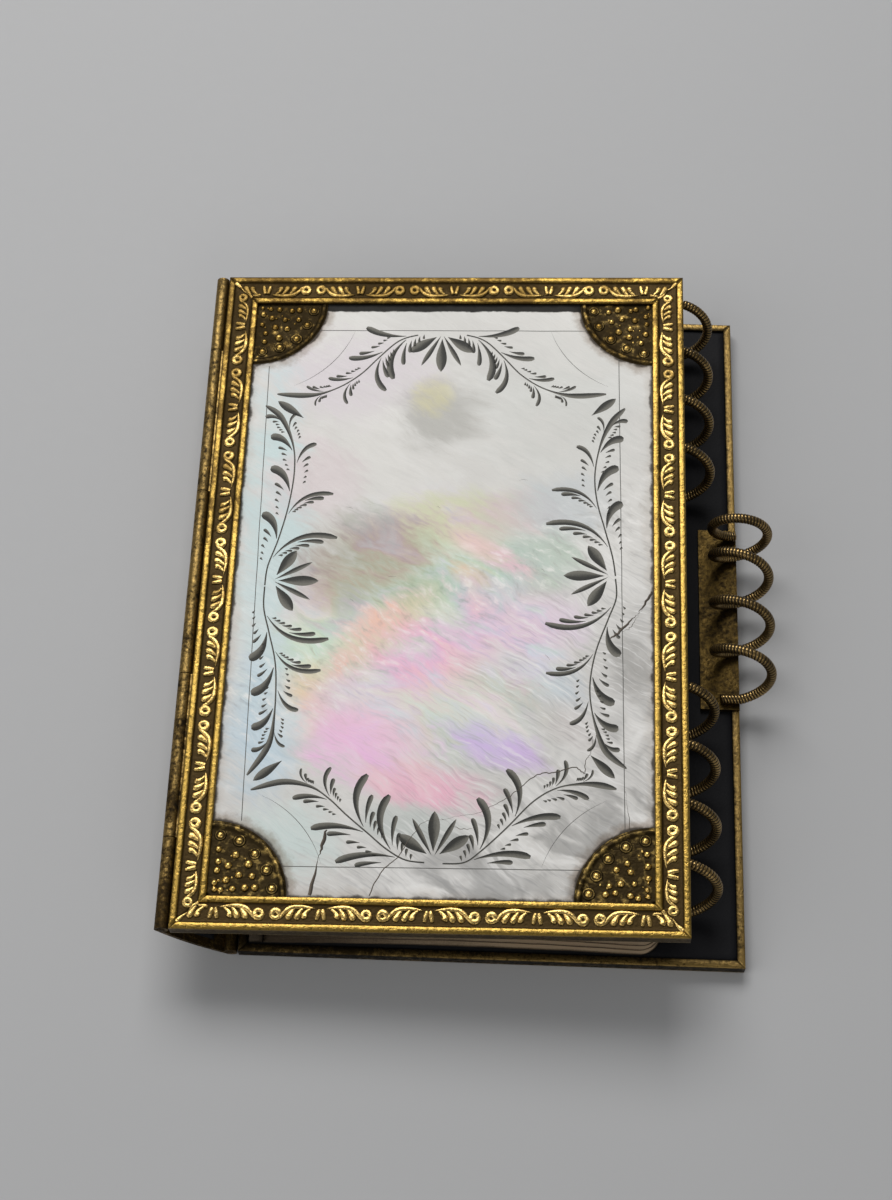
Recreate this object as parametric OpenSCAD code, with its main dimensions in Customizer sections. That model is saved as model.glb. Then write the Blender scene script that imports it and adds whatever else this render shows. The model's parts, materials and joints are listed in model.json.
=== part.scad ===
// Aide-memoire case in book form: two stamped gilt frames hold mother-of-pearl plaques,
// a narrow rounded spine joins them with two pinned hinges, and three wound wire coils
// on the fore-edges line up when it is shut. A small quire of leaves lies inside.
// Millimetres, +Z up, +Y towards the head of the case, +X towards the fore-edge.

/* [Covers] */
// Width of each cover, from hinge side to fore-edge
cover_w = 62; // [50:1:80]
// Height of each cover
cover_h = 93; // [75:1:120]
// Thickness of a cover, from the fillet tops to the inner lip
cover_t = 2.0; // [1.8:0.05:2.6]
// Width of the stamped strip that frames a plaque
frame_w = 4.2; // [3:0.1:7]
// Width of the plain raised fillet along each edge of a strip
fillet_w = 0.85; // [0.5:0.05:1.2]
// Depth of the sunk ground between the two fillets
ground_d = 0.25; // [0.1:0.05:0.35]
// Thickness of the strip's face, fillet top to underside
band_t = 0.5; // [0.4:0.05:0.7]
// Thickness of the strip's side wall
wall_t = 0.35; // [0.25:0.05:0.6]
// Width of the lip that is turned over the lining
lip_w = 1.0; // [0.7:0.05:1.6]
// Thickness of that lip
lip_t = 0.35; // [0.2:0.05:0.5]
// Small chamfer on the strip's exposed edges
edge_c = 0.12; // [0.05:0.01:0.2]

/* [Plaques and linings] */
// Thickness of a mother-of-pearl plaque
plaque_t = 0.55; // [0.4:0.05:0.7]
// How far a plaque reaches in under the strips
plaque_tuck = 0.7; // [0.3:0.05:1.2]
// Radius of the quarter-disc corner pieces
corner_r = 9.6; // [6:0.1:14]
// Radius of the half-round rim on a corner piece
rim_r = 0.32; // [0.2:0.02:0.4]
// Thickness of the lining inside a cover
lining_t = 0.15; // [0.1:0.05:0.3]
// Play between pieces that are laid side by side
fit_gap = 0.05; // [0.02:0.01:0.15]

/* [Hinges] */
// Diameter of a hinge pin
pin_d = 0.84; // [0.6:0.02:1]
// Radial play between a pin and its knuckles
pin_play = 0.05; // [0.02:0.01:0.1]
// Outside diameter of the knuckles
barrel_d = 1.7; // [1.4:0.05:2]
// Height of a hinge axis above its cover's outer face
axis_h = 1.0; // [0.9:0.05:1.3]
// Play between the knuckles and what turns past them
hinge_gap = 0.15; // [0.1:0.05:0.4]
// Length of the two end knuckles, which belong to the spine
end_knuckle = 11.6; // [8:0.1:16]
// Length of the two knuckles that belong to a cover
cover_knuckle = 21.8; // [12:0.1:26]
// Play along the pin between neighbouring knuckles
knuckle_gap = 0.12; // [0.05:0.01:0.3]
// Thickness of the web that joins a cover's knuckle to its strip
web_t = 0.8; // [0.5:0.05:1.2]

/* [Spine] */
// Thickness of the spine plate
spine_t = 0.5; // [0.3:0.05:0.6]
// How far the spine bulges outwards between its hinges
spine_bulge = 0.5; // [0.2:0.05:1.5]
// Thickness of the strip of lining inside the spine
spine_lining_t = 0.15; // [0.1:0.05:0.3]
// How far that lining stays clear of the hinge axes
spine_lining_inset = 2.4; // [2:0.1:4]

/* [Coils] */
// Diameter of the wound wire
wire_d = 1.3; // [0.8:0.05:1.5]
// Diameter of a coil, measured to the middle of the wire
coil_d = 7.2; // [6.5:0.1:9]
// Turns in each coil
coil_turns = 4; // [2:1:5]
// Pitch of the back cover's coil
back_pitch = 6.9; // [4:0.1:8]
// Pitch of the first, closed turn of that coil
closed_pitch = 2.2; // [2:0.1:4]
// Where the middle of that coil stands, from the cover's middle
back_coil_mid = 0.6; // [-3:0.1:3]
// Distance of the front coils from the ends of the cover
coil_margin = 2.4; // [1:0.1:6]
// Play between neighbouring coils when they line up
coil_apart = 0.35; // [0.2:0.05:1]
// Width of the plates that the coils are soldered to
plate_w = 5.0; // [3:0.1:8]
// Thickness of those plates above the lip
plate_t = 0.3; // [0.2:0.05:0.6]
// How far a plate runs past its coil at each end
plate_over = 1.2; // [0.8:0.1:1.4]
// Film of solder between a coil and its plate
seat_gap = 0.02; // [0.01:0.01:0.05]

/* [Leaves] */
// Distance of the leaves' fore-edge from the cover's fore-edge
leaf_inset = 10.2; // [8:0.1:20]
// Distance of the leaves' head and tail from the cover's ends
leaf_trim = 1.2; // [1.1:0.1:5]
// Thickness of a leaf
leaf_t = 0.2; // [0.1:0.02:0.25]
// Height from one leaf to the next at its edges
leaf_step = 0.3; // [0.28:0.02:0.5]
// Bow of the lowest leaf
leaf_bow = 1.2; // [0.6:0.1:2]
// How much more each leaf bows than the one below it
leaf_bow_step = 0.35; // [0:0.05:0.5]
// Radius of a leaf's outer corners
leaf_corner_r = 3; // [1:0.5:8]
// Width of the sewn guard that holds the leaves at their fold
guard_w = 1.6; // [1:0.1:2]
// Play between the guard and the leaves
guard_gap = 0.12; // [0.08:0.01:0.2]
// Distance of the guard from the lip along the spine side
guard_side = 0.3; // [0.2:0.05:3]

/* [Pose] */
// Angle at which the spine leans back from upright
lean = 43; // [0:1:46]
// Play between the front coils and what they lie on at rest
rest_gap = 0.35; // [0.2:0.05:1]

/* [Hidden] */
$fn = 48;
eps = 1;
open_w = cover_w - 2 * frame_w;
open_h = cover_h - 2 * frame_w;
lining_top = cover_t - lip_t;
board_z = band_t + plaque_t;
board_t = lining_top - lining_t - board_z;
inner_w = cover_w - 2 * (wall_t + fit_gap);
inner_h = cover_h - 2 * (wall_t + fit_gap);

barrel_r = barrel_d / 2;
bore_r = pin_d / 2 + pin_play;
hinge_out = barrel_r + hinge_gap;
hinge_x = -cover_w / 2 - hinge_out;
middle_knuckle = cover_h - 2 * (end_knuckle + cover_knuckle);

// Where the knuckles lie along a pin, as [start, end] pairs from tail to head
knuckle_cuts = [
    0,
    end_knuckle,
    end_knuckle + cover_knuckle,
    end_knuckle + cover_knuckle + middle_knuckle,
    end_knuckle + 2 * cover_knuckle + middle_knuckle,
    cover_h
];
cover_seats = [1, 3];
spine_seats = [0, 2, 4];

wire_r = wire_d / 2;
coil_r = coil_d / 2;
coil_out_r = coil_r + wire_r;
coil_x = cover_w / 2;
coil_z = cover_t + plate_t + seat_gap + coil_out_r;
ring_count = 24;
ring_sides = 6;

// The spine is as long as the shut case needs for its coils to share one axis
spine_len = 2 * (coil_z - axis_h);
spine_end_n = barrel_r - 0.05;
spine_arc_r = (pow(spine_len / 2, 2) + pow(spine_bulge, 2)) / (2 * spine_bulge);
spine_arc_x = spine_arc_r - spine_end_n - spine_bulge;

// The leaves run from the guard beside the spine's lip to their own fore-edge
leaf_right = cover_w / 2 - leaf_inset;
leaf_left = -cover_w / 2 + lip_w + guard_side + guard_w + guard_gap;
leaf_mid = (leaf_left + leaf_right) / 2;
leaf_w = leaf_right - leaf_left;
leaf_h = cover_h - 2 * leaf_trim;
leaf_z = lining_top + (leaf_step - leaf_t);
leaf_count = 5;

// The front cover tips until its coils lie on the top leaf or on the back lining
front_x = hinge_x - spine_len * sin(lean);
front_z = axis_h + spine_len * cos(lean);
coil_arm_x = coil_x - hinge_x;
coil_arm_z = coil_z - axis_h;
top_arc_r = leaf_arc_r(leaf_count);
top_arc_z = leaf_arc_z(leaf_count);
edge_top = top_arc_z + sqrt(pow(top_arc_r + leaf_t, 2) - pow(leaf_w / 2, 2));
tilt = settle(0, 8);

// The origin is under the middle of the whole case
case_x = (barrel_r - front_x - coil_x - coil_out_r) / 2;

// The closed turn opens into the full pitch over this stretch, in turns
opening_turn = 0.6;
opening_run = 0.5;
back_rise = rise(coil_turns, closed_pitch, back_pitch);
back_start = back_coil_mid + back_rise / 2;
back_end = back_start - back_rise;
head_start = cover_h / 2 - coil_margin;
head_end = back_start + wire_d + coil_apart;
head_pitch = (head_start - head_end) / coil_turns;
tail_start = back_end - wire_d - coil_apart;
tail_end = -cover_h / 2 + coil_margin;
tail_pitch = (tail_start - tail_end) / coil_turns;

gilt = [0.83, 0.66, 0.33];
worn_gilt = [0.62, 0.48, 0.25];
bronze = [0.38, 0.31, 0.2];
pearl = [0.87, 0.86, 0.85];
navy = [0.07, 0.08, 0.12];
card = [0.6, 0.52, 0.4];
paper = [0.85, 0.78, 0.63];

// Bow, radius and centre of the arc that a leaf's underside follows
function leaf_rise(number) = leaf_bow + (number - 1) * leaf_bow_step;
function leaf_arc_r(number) =
    (pow(leaf_w / 2, 2) + pow(leaf_rise(number), 2)) / (2 * leaf_rise(number));
function leaf_arc_z(number) =
    leaf_z + (number - 1) * leaf_step + leaf_rise(number) - leaf_arc_r(number);

// Height of a front coil's axis when it lies on what is under it at x
function coil_seat(x) =
    let (reach = coil_out_r + rest_gap, past = x - leaf_right)
    max(
        lining_top + reach,
        past <= 0 ? top_arc_z + sqrt(pow(top_arc_r + leaf_t + reach, 2) - pow(x - leaf_mid, 2))
            : past < reach ? edge_top + sqrt(pow(reach, 2) - pow(past, 2))
            : 0
    );

// Tilt of the front cover at which its coils are seated, closer with each try
function settle(angle, tries) =
    tries == 0 ? angle
        : let (
            x = front_x + coil_arm_x * cos(angle) + coil_arm_z * sin(angle),
            drop = coil_seat(x) - front_z
        )
        settle(
            atan2(coil_arm_z, coil_arm_x) + asin(drop / norm([coil_arm_x, coil_arm_z])),
            tries - 1
        );

// How far a coil has advanced after so many turns
function rise(turns, first, next) =
    let (u = (turns - opening_turn) / opening_run)
    first * turns + (next - first) * opening_run
        * (u <= 0 ? 0 : u < 1 ? pow(u, 3) - pow(u, 4) / 2 : u - 0.5);

function coil_angle(turn, spin) = -90 + spin * 360 * turn;

function coil_point(turn, start, first, next, spin) =
    let (a = coil_angle(turn, spin))
    [coil_x - coil_r * cos(a), start - rise(turn, first, next), coil_z + coil_r * sin(a)];

// The corners of one ring of the wire, square to the way it runs
function wire_ring(turn, start, first, next, spin) =
    let (
        a = coil_angle(turn, spin),
        step = 1 / (4 * ring_count),
        ahead = coil_point(turn + step, start, first, next, spin),
        behind = coil_point(turn - step, start, first, next, spin),
        out = [-cos(a), 0, sin(a)],
        along = (ahead - behind) / norm(ahead - behind),
        side = cross(along, out)
    )
    [for (j = [0 : ring_sides - 1])
        coil_point(turn, start, first, next, spin)
            + wire_r * (out * cos(360 * j / ring_sides) + side * sin(360 * j / ring_sides))];

// Least gap between one turn of a coil and the next, measured on its centre line
function least_gap(points, skip) =
    min([for (i = [0 : len(points) - 1]) for (j = [i + skip : 1 : len(points) - 1])
        norm(points[i] - points[j])]) - wire_d;

// Cross-section of a strip: inwards from the cover's edge, and down from its outer face
module strip_section() {
    near = frame_w - fillet_w;
    polygon([
        [0, edge_c], [edge_c, 0], [fillet_w - edge_c, 0], [fillet_w, edge_c],
        [fillet_w, ground_d], [near, ground_d],
        [near, edge_c], [near + edge_c, 0], [frame_w - edge_c, 0], [frame_w, edge_c],
        [frame_w, band_t], [wall_t, band_t],
        [wall_t, lining_top], [lip_w, lining_top],
        [lip_w, cover_t - edge_c], [lip_w - edge_c, cover_t],
        [edge_c, cover_t], [0, cover_t - edge_c]
    ]);
}

// One length of strip with both ends mitred, along Y with its outer edge at x = 0
module strip(run) {
    intersection() {
        rotate([90, 0, 0])
            linear_extrude(run, center = true)
                strip_section();
        translate([0, 0, -eps])
            linear_extrude(cover_t + 2 * eps)
                polygon([
                    [-eps, -run / 2 - eps], [frame_w + eps, -run / 2 + frame_w + eps],
                    [frame_w + eps, run / 2 - frame_w - eps], [-eps, run / 2 + eps]
                ]);
    }
}

module spine_side_strip() {
    color(gilt) translate([-cover_w / 2, 0, 0]) strip(cover_h);
}

module fore_strip() {
    color(gilt) mirror([1, 0, 0]) translate([-cover_w / 2, 0, 0]) strip(cover_h);
}

module head_strip() {
    color(gilt) rotate([0, 0, -90]) translate([-cover_h / 2, 0, 0]) strip(cover_w);
}

module tail_strip() {
    color(gilt) rotate([0, 0, 90]) translate([-cover_h / 2, 0, 0]) strip(cover_w);
}

module tucked_rectangle() {
    square([open_w + 2 * plaque_tuck, open_h + 2 * plaque_tuck], center = true);
}

// Mother-of-pearl plaque with hollowed corners
module plaque() {
    color(pearl)
        translate([0, 0, band_t])
            linear_extrude(plaque_t)
                difference() {
                    tucked_rectangle();
                    for (sx = [-1, 1], sy = [-1, 1])
                        translate([sx * open_w / 2, sy * open_h / 2])
                            circle(corner_r + fit_gap);
                }
}

// Quarter-disc corner piece with a half-round rim; sx and sy say which corner
module corner_piece(sx, sy) {
    rim_turn = 87;
    color(worn_gilt) {
        translate([0, 0, band_t])
            linear_extrude(plaque_t)
                intersection() {
                    translate([sx * open_w / 2, sy * open_h / 2]) circle(corner_r);
                    tucked_rectangle();
                }
        translate([sx * open_w / 2, sy * open_h / 2, band_t])
            mirror([sx > 0 ? 1 : 0, 0, 0])
                mirror([0, sy > 0 ? 1 : 0, 0])
                    rotate([0, 0, (90 - rim_turn) / 2])
                        rotate_extrude(angle = rim_turn)
                            translate([corner_r - 1.5 * rim_r, 0])
                                circle(rim_r);
    }
}

module board() {
    color(card)
        translate([-inner_w / 2, -inner_h / 2, board_z])
            cube([inner_w, inner_h, board_t]);
}

module lining() {
    color(navy)
        translate([-inner_w / 2, -inner_h / 2, lining_top - lining_t])
            cube([inner_w, inner_h, lining_t]);
}

// A tube or rod along Y that fills one knuckle's place on a hinge axis
module knuckle_place(seat, r, spare = 0) {
    low = knuckle_cuts[seat] + knuckle_gap / 2 - spare;
    high = knuckle_cuts[seat + 1] - knuckle_gap / 2 + spare;
    translate([0, low - cover_h / 2, 0])
        rotate([-90, 0, 0])
            cylinder(r = r, h = high - low);
}

module bore() {
    rotate([90, 0, 0]) cylinder(r = bore_r, h = cover_h + 2 * eps, center = true);
}

// The two knuckles of a cover, each with the web that is soldered to its strip
module cover_knuckles() {
    color(worn_gilt)
        translate([hinge_x, 0, axis_h])
            difference() {
                for (seat = cover_seats) {
                    low = knuckle_cuts[seat] + knuckle_gap / 2;
                    high = knuckle_cuts[seat + 1] - knuckle_gap / 2;
                    knuckle_place(seat, barrel_r);
                    translate([0, low - cover_h / 2, -web_t / 2])
                        cube([hinge_out, high - low, web_t]);
                }
                bore();
            }
}

// Hinge pin with chamfered ends, on its own axis
module pin() {
    r = pin_d / 2;
    color(bronze)
        rotate([90, 0, 0])
            rotate_extrude()
                polygon([
                    [0, -cover_h / 2], [r - edge_c, -cover_h / 2], [r, -cover_h / 2 + edge_c],
                    [r, cover_h / 2 - edge_c], [r - edge_c, cover_h / 2], [0, cover_h / 2]
                ]);
}

// Band between two arcs of the spine, at a depth inside its outer face
module spine_band(depth, thick, inset) {
    intersection() {
        translate([spine_arc_x, spine_len / 2])
            difference() {
                circle(spine_arc_r - depth, $fn = 96);
                circle(spine_arc_r - depth - thick, $fn = 96);
            }
        translate([-spine_arc_r / 2, inset])
            square([spine_arc_r / 2, spine_len - 2 * inset]);
    }
}

// Rounded spine with its own knuckles along both edges, upright on the back hinge axis
module spine_plate() {
    color(gilt)
        difference() {
            union() {
                rotate([90, 0, 0])
                    linear_extrude(cover_h - knuckle_gap, center = true)
                        spine_band(0, spine_t, 0);
                for (z = [0, spine_len], seat = spine_seats)
                    translate([0, 0, z])
                        knuckle_place(seat, barrel_r);
            }
            for (z = [0, spine_len])
                translate([0, 0, z]) {
                    bore();
                    for (seat = cover_seats)
                        knuckle_place(seat, barrel_r + hinge_gap, knuckle_gap);
                }
        }
}

module spine_lining() {
    color(navy)
        rotate([90, 0, 0])
            linear_extrude(cover_h - 2 * leaf_trim, center = true)
                spine_band(spine_t, spine_lining_t, spine_lining_inset);
}

// Plate under a coil, stepped down past the lip to the lining
module coil_plate(start, end) {
    run = start - end + 2 * plate_over;
    color(worn_gilt)
        translate([cover_w / 2 - plate_w, end - plate_over, 0]) {
            translate([0, 0, cover_t])
                cube([plate_w, run, plate_t]);
            translate([0, 0, lining_top])
                cube([plate_w - lip_w - fit_gap, run, lip_t + plate_t]);
        }
}

// One unbroken wire wound into a coil; spin is its hand
module coil(label, start, first, next, spin) {
    last = ring_count * coil_turns;
    turns = [for (i = [0 : last]) i / ring_count];
    centres = [for (t = turns) coil_point(t, start, first, next, spin)];
    corners = [for (t = turns) each wire_ring(t, start, first, next, spin)];
    sides = [for (i = [0 : last - 1], j = [0 : ring_sides - 1])
        let (
            k = (j + 1) % ring_sides,
            a = i * ring_sides,
            b = a + ring_sides
        )
        each [[a + j, b + j, b + k], [a + j, b + k, a + k]]];
    near_cap = [for (j = [1 : ring_sides - 2]) [0, j, j + 1]];
    far = last * ring_sides;
    far_cap = [for (j = [1 : ring_sides - 2]) [far, far + j + 1, far + j]];
    echo(str(label, ": least gap to itself, mm"), least_gap(centres, 2 * ring_count / 3));
    color(bronze) polyhedron(corners, concat(sides, near_cap, far_cap));
}

// Outline of a leaf with rounded outer corners
module leaf_outline() {
    r = leaf_corner_r;
    polygon(concat(
        [[leaf_left, leaf_h / 2], [leaf_left, -leaf_h / 2]],
        [for (a = [-90 : 15 : 0])
            [leaf_right - r + r * cos(a), -leaf_h / 2 + r + r * sin(a)]],
        [for (a = [0 : 15 : 90])
            [leaf_right - r + r * cos(a), leaf_h / 2 - r + r * sin(a)]]
    ));
}

// One bowed leaf, counted from the lowest
module leaf(number) {
    bow = leaf_rise(number);
    arc_r = leaf_arc_r(number);
    color(paper)
        intersection() {
            rotate([90, 0, 0])
                linear_extrude(leaf_h + 2 * eps, center = true)
                    intersection() {
                        translate([leaf_mid, leaf_arc_z(number)])
                            difference() {
                                circle(arc_r + leaf_t, $fn = 180);
                                circle(arc_r, $fn = 180);
                            }
                        translate([leaf_left - eps, lining_top])
                            square([leaf_w + 2 * eps, bow + leaf_count * leaf_step + eps]);
                    }
            linear_extrude(lining_top + bow + leaf_count * leaf_step + eps)
                leaf_outline();
        }
}

// Sewn guard at the fold, pasted to the back lining
module leaf_guard() {
    color(card)
        translate([leaf_left - guard_gap - guard_w, -leaf_h / 2, lining_top])
            cube([guard_w, leaf_h, leaf_count * leaf_step]);
}

// Where each body stands
module on_back() {
    translate([case_x, 0, 0]) children();
}

module on_spine() {
    translate([case_x + hinge_x, 0, axis_h])
        rotate([0, -lean, 0])
            children();
}

module on_front() {
    translate([case_x + front_x, 0, front_z])
        rotate([0, -tilt, 0])
            mirror([0, 0, 1])
                translate([-hinge_x, 0, -axis_h])
                    children();
}

module back_strip_spine_side() { on_back() spine_side_strip(); }
module back_strip_fore() { on_back() fore_strip(); }
module back_strip_head() { on_back() head_strip(); }
module back_strip_tail() { on_back() tail_strip(); }
module back_plaque() { on_back() plaque(); }
module back_corner_head_spine() { on_back() corner_piece(-1, 1); }
module back_corner_head_fore() { on_back() corner_piece(1, 1); }
module back_corner_tail_spine() { on_back() corner_piece(-1, -1); }
module back_corner_tail_fore() { on_back() corner_piece(1, -1); }
module back_board() { on_back() board(); }
module back_lining() { on_back() lining(); }
module back_knuckles() { on_back() cover_knuckles(); }
module back_coil_plate() { on_back() coil_plate(back_start, back_end); }
module back_coil() { on_back() coil("back coil", back_start, closed_pitch, back_pitch, 1); }
module back_pin() { on_back() translate([hinge_x, 0, axis_h]) pin(); }

module spine() { on_spine() spine_plate(); }
module spine_doublure() { on_spine() spine_lining(); }
module front_pin() { on_spine() translate([0, 0, spine_len]) pin(); }

module front_strip_spine_side() { on_front() spine_side_strip(); }
module front_strip_fore() { on_front() fore_strip(); }
module front_strip_head() { on_front() head_strip(); }
module front_strip_tail() { on_front() tail_strip(); }
module front_plaque() { on_front() plaque(); }
module front_corner_head_spine() { on_front() corner_piece(-1, 1); }
module front_corner_head_fore() { on_front() corner_piece(1, 1); }
module front_corner_tail_spine() { on_front() corner_piece(-1, -1); }
module front_corner_tail_fore() { on_front() corner_piece(1, -1); }
module front_board() { on_front() board(); }
module front_lining() { on_front() lining(); }
module front_knuckles() { on_front() cover_knuckles(); }
module front_coil_plate_head() { on_front() coil_plate(head_start, head_end); }
module front_coil_plate_tail() { on_front() coil_plate(tail_start, tail_end); }
module front_coil_head() { on_front() coil("head coil", head_start, head_pitch, head_pitch, -1); }
module front_coil_tail() { on_front() coil("tail coil", tail_start, tail_pitch, tail_pitch, -1); }

module guard() { on_back() leaf_guard(); }
module leaf_1() { on_back() leaf(1); }
module leaf_2() { on_back() leaf(2); }
module leaf_3() { on_back() leaf(3); }
module leaf_4() { on_back() leaf(4); }
module leaf_5() { on_back() leaf(5); }

back_strip_spine_side();
back_strip_fore();
back_strip_head();
back_strip_tail();
back_plaque();
back_corner_head_spine();
back_corner_head_fore();
back_corner_tail_spine();
back_corner_tail_fore();
back_board();
back_lining();
back_knuckles();
back_coil_plate();
back_coil();
back_pin();
spine();
spine_doublure();
front_pin();
front_strip_spine_side();
front_strip_fore();
front_strip_head();
front_strip_tail();
front_plaque();
front_corner_head_spine();
front_corner_head_fore();
front_corner_tail_spine();
front_corner_tail_fore();
front_board();
front_lining();
front_knuckles();
front_coil_plate_head();
front_coil_plate_tail();
front_coil_head();
front_coil_tail();
guard();
leaf_1();
leaf_2();
leaf_3();
leaf_4();
leaf_5();
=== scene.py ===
"""Dresses the aide-memoire case: stamped gilt frames, engraved mother-of-pearl, pearled corner pieces,
wound wire coils, worn hinges, dark linings and paper leaves, lit and seen as in its portrait."""
import json
import logging
import math
import random
from dataclasses import dataclass, field, replace
from enum import Enum
from typing import Callable, Iterable, Optional, Sequence, Union

import bpy
from mathutils import Matrix, Vector, noise


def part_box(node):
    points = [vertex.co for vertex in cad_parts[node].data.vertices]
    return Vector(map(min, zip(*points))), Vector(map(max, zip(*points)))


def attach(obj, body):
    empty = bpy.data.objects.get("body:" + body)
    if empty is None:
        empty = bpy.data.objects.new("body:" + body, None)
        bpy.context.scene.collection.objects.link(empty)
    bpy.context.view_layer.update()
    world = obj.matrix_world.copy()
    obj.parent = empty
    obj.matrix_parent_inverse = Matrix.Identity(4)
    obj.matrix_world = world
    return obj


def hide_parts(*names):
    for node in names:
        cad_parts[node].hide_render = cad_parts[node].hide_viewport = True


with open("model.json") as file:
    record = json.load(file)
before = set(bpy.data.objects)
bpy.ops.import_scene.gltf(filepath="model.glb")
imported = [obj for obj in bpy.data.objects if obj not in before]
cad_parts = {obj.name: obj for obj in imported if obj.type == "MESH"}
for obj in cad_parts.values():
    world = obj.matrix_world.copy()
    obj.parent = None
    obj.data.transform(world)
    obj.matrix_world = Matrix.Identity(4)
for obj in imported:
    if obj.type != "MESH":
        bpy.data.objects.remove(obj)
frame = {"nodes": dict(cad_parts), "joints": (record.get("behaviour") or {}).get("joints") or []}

logging.basicConfig(level=logging.INFO, format="%(message)s")
LOG = logging.getLogger("case")
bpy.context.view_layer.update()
MM = 0.001

Colour = tuple[float, float, float]
Flat = tuple[float, float]
Operand = Union["Sock", float, Sequence[float]]


class Side(Enum):
    """The two covers, named as their bodies and nodes are."""

    BACK = "back"
    FRONT = "front"


class Edge(Enum):
    """The four strips of a cover, with the turn of their ornament in degrees."""

    TAIL = 0
    FORE = 90
    HEAD = 180
    SPINE = 270

    @property
    def node(self) -> str:
        """Returns the end of the CAD node's name."""
        return "strip_spine_side" if self is Edge.SPINE else f"strip_{self.name.lower()}"


@dataclass(frozen=True)
class CaseSizes:
    """Sizes of the case in millimetres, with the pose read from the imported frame."""

    width: float
    height: float
    thick: float
    shift: float
    back_hinge: Flat
    front_hinge: Flat
    tilt: float
    strip: float = 4.2
    fillet: float = 0.85
    sunk: float = 0.25
    band: float = 0.5
    wall: float = 0.35
    lip: float = 1.0
    lip_t: float = 0.35
    corner: float = 9.6
    plaque_t: float = 0.55
    lining_t: float = 0.15
    wire: float = 0.65
    coil: float = 3.6
    plate_t: float = 0.3
    leaf_t: float = 0.2
    leaf_step: float = 0.3

    @classmethod
    def from_frame(cls) -> "CaseSizes":
        """Reads the covers' size and pose from the CAD nodes and joints.

        Returns:
            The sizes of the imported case.
        """
        low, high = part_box("back_strip_head")
        fore_low, fore_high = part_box("back_strip_fore")
        pins = {j["name"]: [v / MM for v in j["pos_m"]] for j in frame["joints"]}
        faces = frame["nodes"]["front_board"].data.polygons
        top = max(faces, key=lambda f: f.area * (f.normal.z > 0))
        return cls(
            width=(high[0] - low[0]) / MM,
            height=(fore_high[1] - fore_low[1]) / MM,
            thick=high[2] / MM,
            shift=(high[0] + low[0]) / 2 / MM,
            back_hinge=(pins["spine_fold"][0], pins["spine_fold"][2]),
            front_hinge=(pins["cover_open"][0], pins["cover_open"][2]),
            tilt=math.atan2(-top.normal.x, top.normal.z),
        )

    @property
    def half_open(self) -> Flat:
        """Returns half the width and height of the plaque's opening."""
        return self.width / 2 - self.strip, self.height / 2 - self.strip

    @property
    def coil_z(self) -> float:
        """Returns how far a coil's axis stands from its cover's outer face."""
        return self.thick + self.plate_t + 0.02 + self.coil + self.wire


@dataclass(frozen=True)
class CoverFrame:
    """Places points given on a cover: x to the fore-edge, y to the head, lift out of its outer face."""

    side: Side
    sizes: CaseSizes

    @property
    def body(self) -> str:
        """Returns the body that the cover's pieces ride on."""
        return f"{self.side.value}_cover"

    def node(self, name: str) -> str:
        """Returns a CAD node's full name, given without the cover's prefix."""
        return f"{self.side.value}_{name}"

    def point(self, x: float, y: float, lift: float) -> Vector:
        """Places one point.

        Args:
            x: Millimetres from the cover's middle towards the fore-edge.
            y: Millimetres from the cover's middle towards the head.
            lift: Millimetres out of the outer face, negative inside the cover.

        Returns:
            The point in the row frame, in metres.
        """
        s = self.sizes
        if self.side is Side.BACK:
            return Vector((x + s.shift, y, -lift)) * MM
        dx, dz = x + s.shift - s.back_hinge[0], lift + s.back_hinge[1]
        c, n = math.cos(s.tilt), math.sin(s.tilt)
        return Vector((s.front_hinge[0] + dx * c - dz * n, y, s.front_hinge[1] + dx * n + dz * c)) * MM

    @property
    def flips(self) -> bool:
        """Returns whether placing mirrors a mesh, so that its faces are turned round."""
        return self.side is Side.BACK


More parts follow.
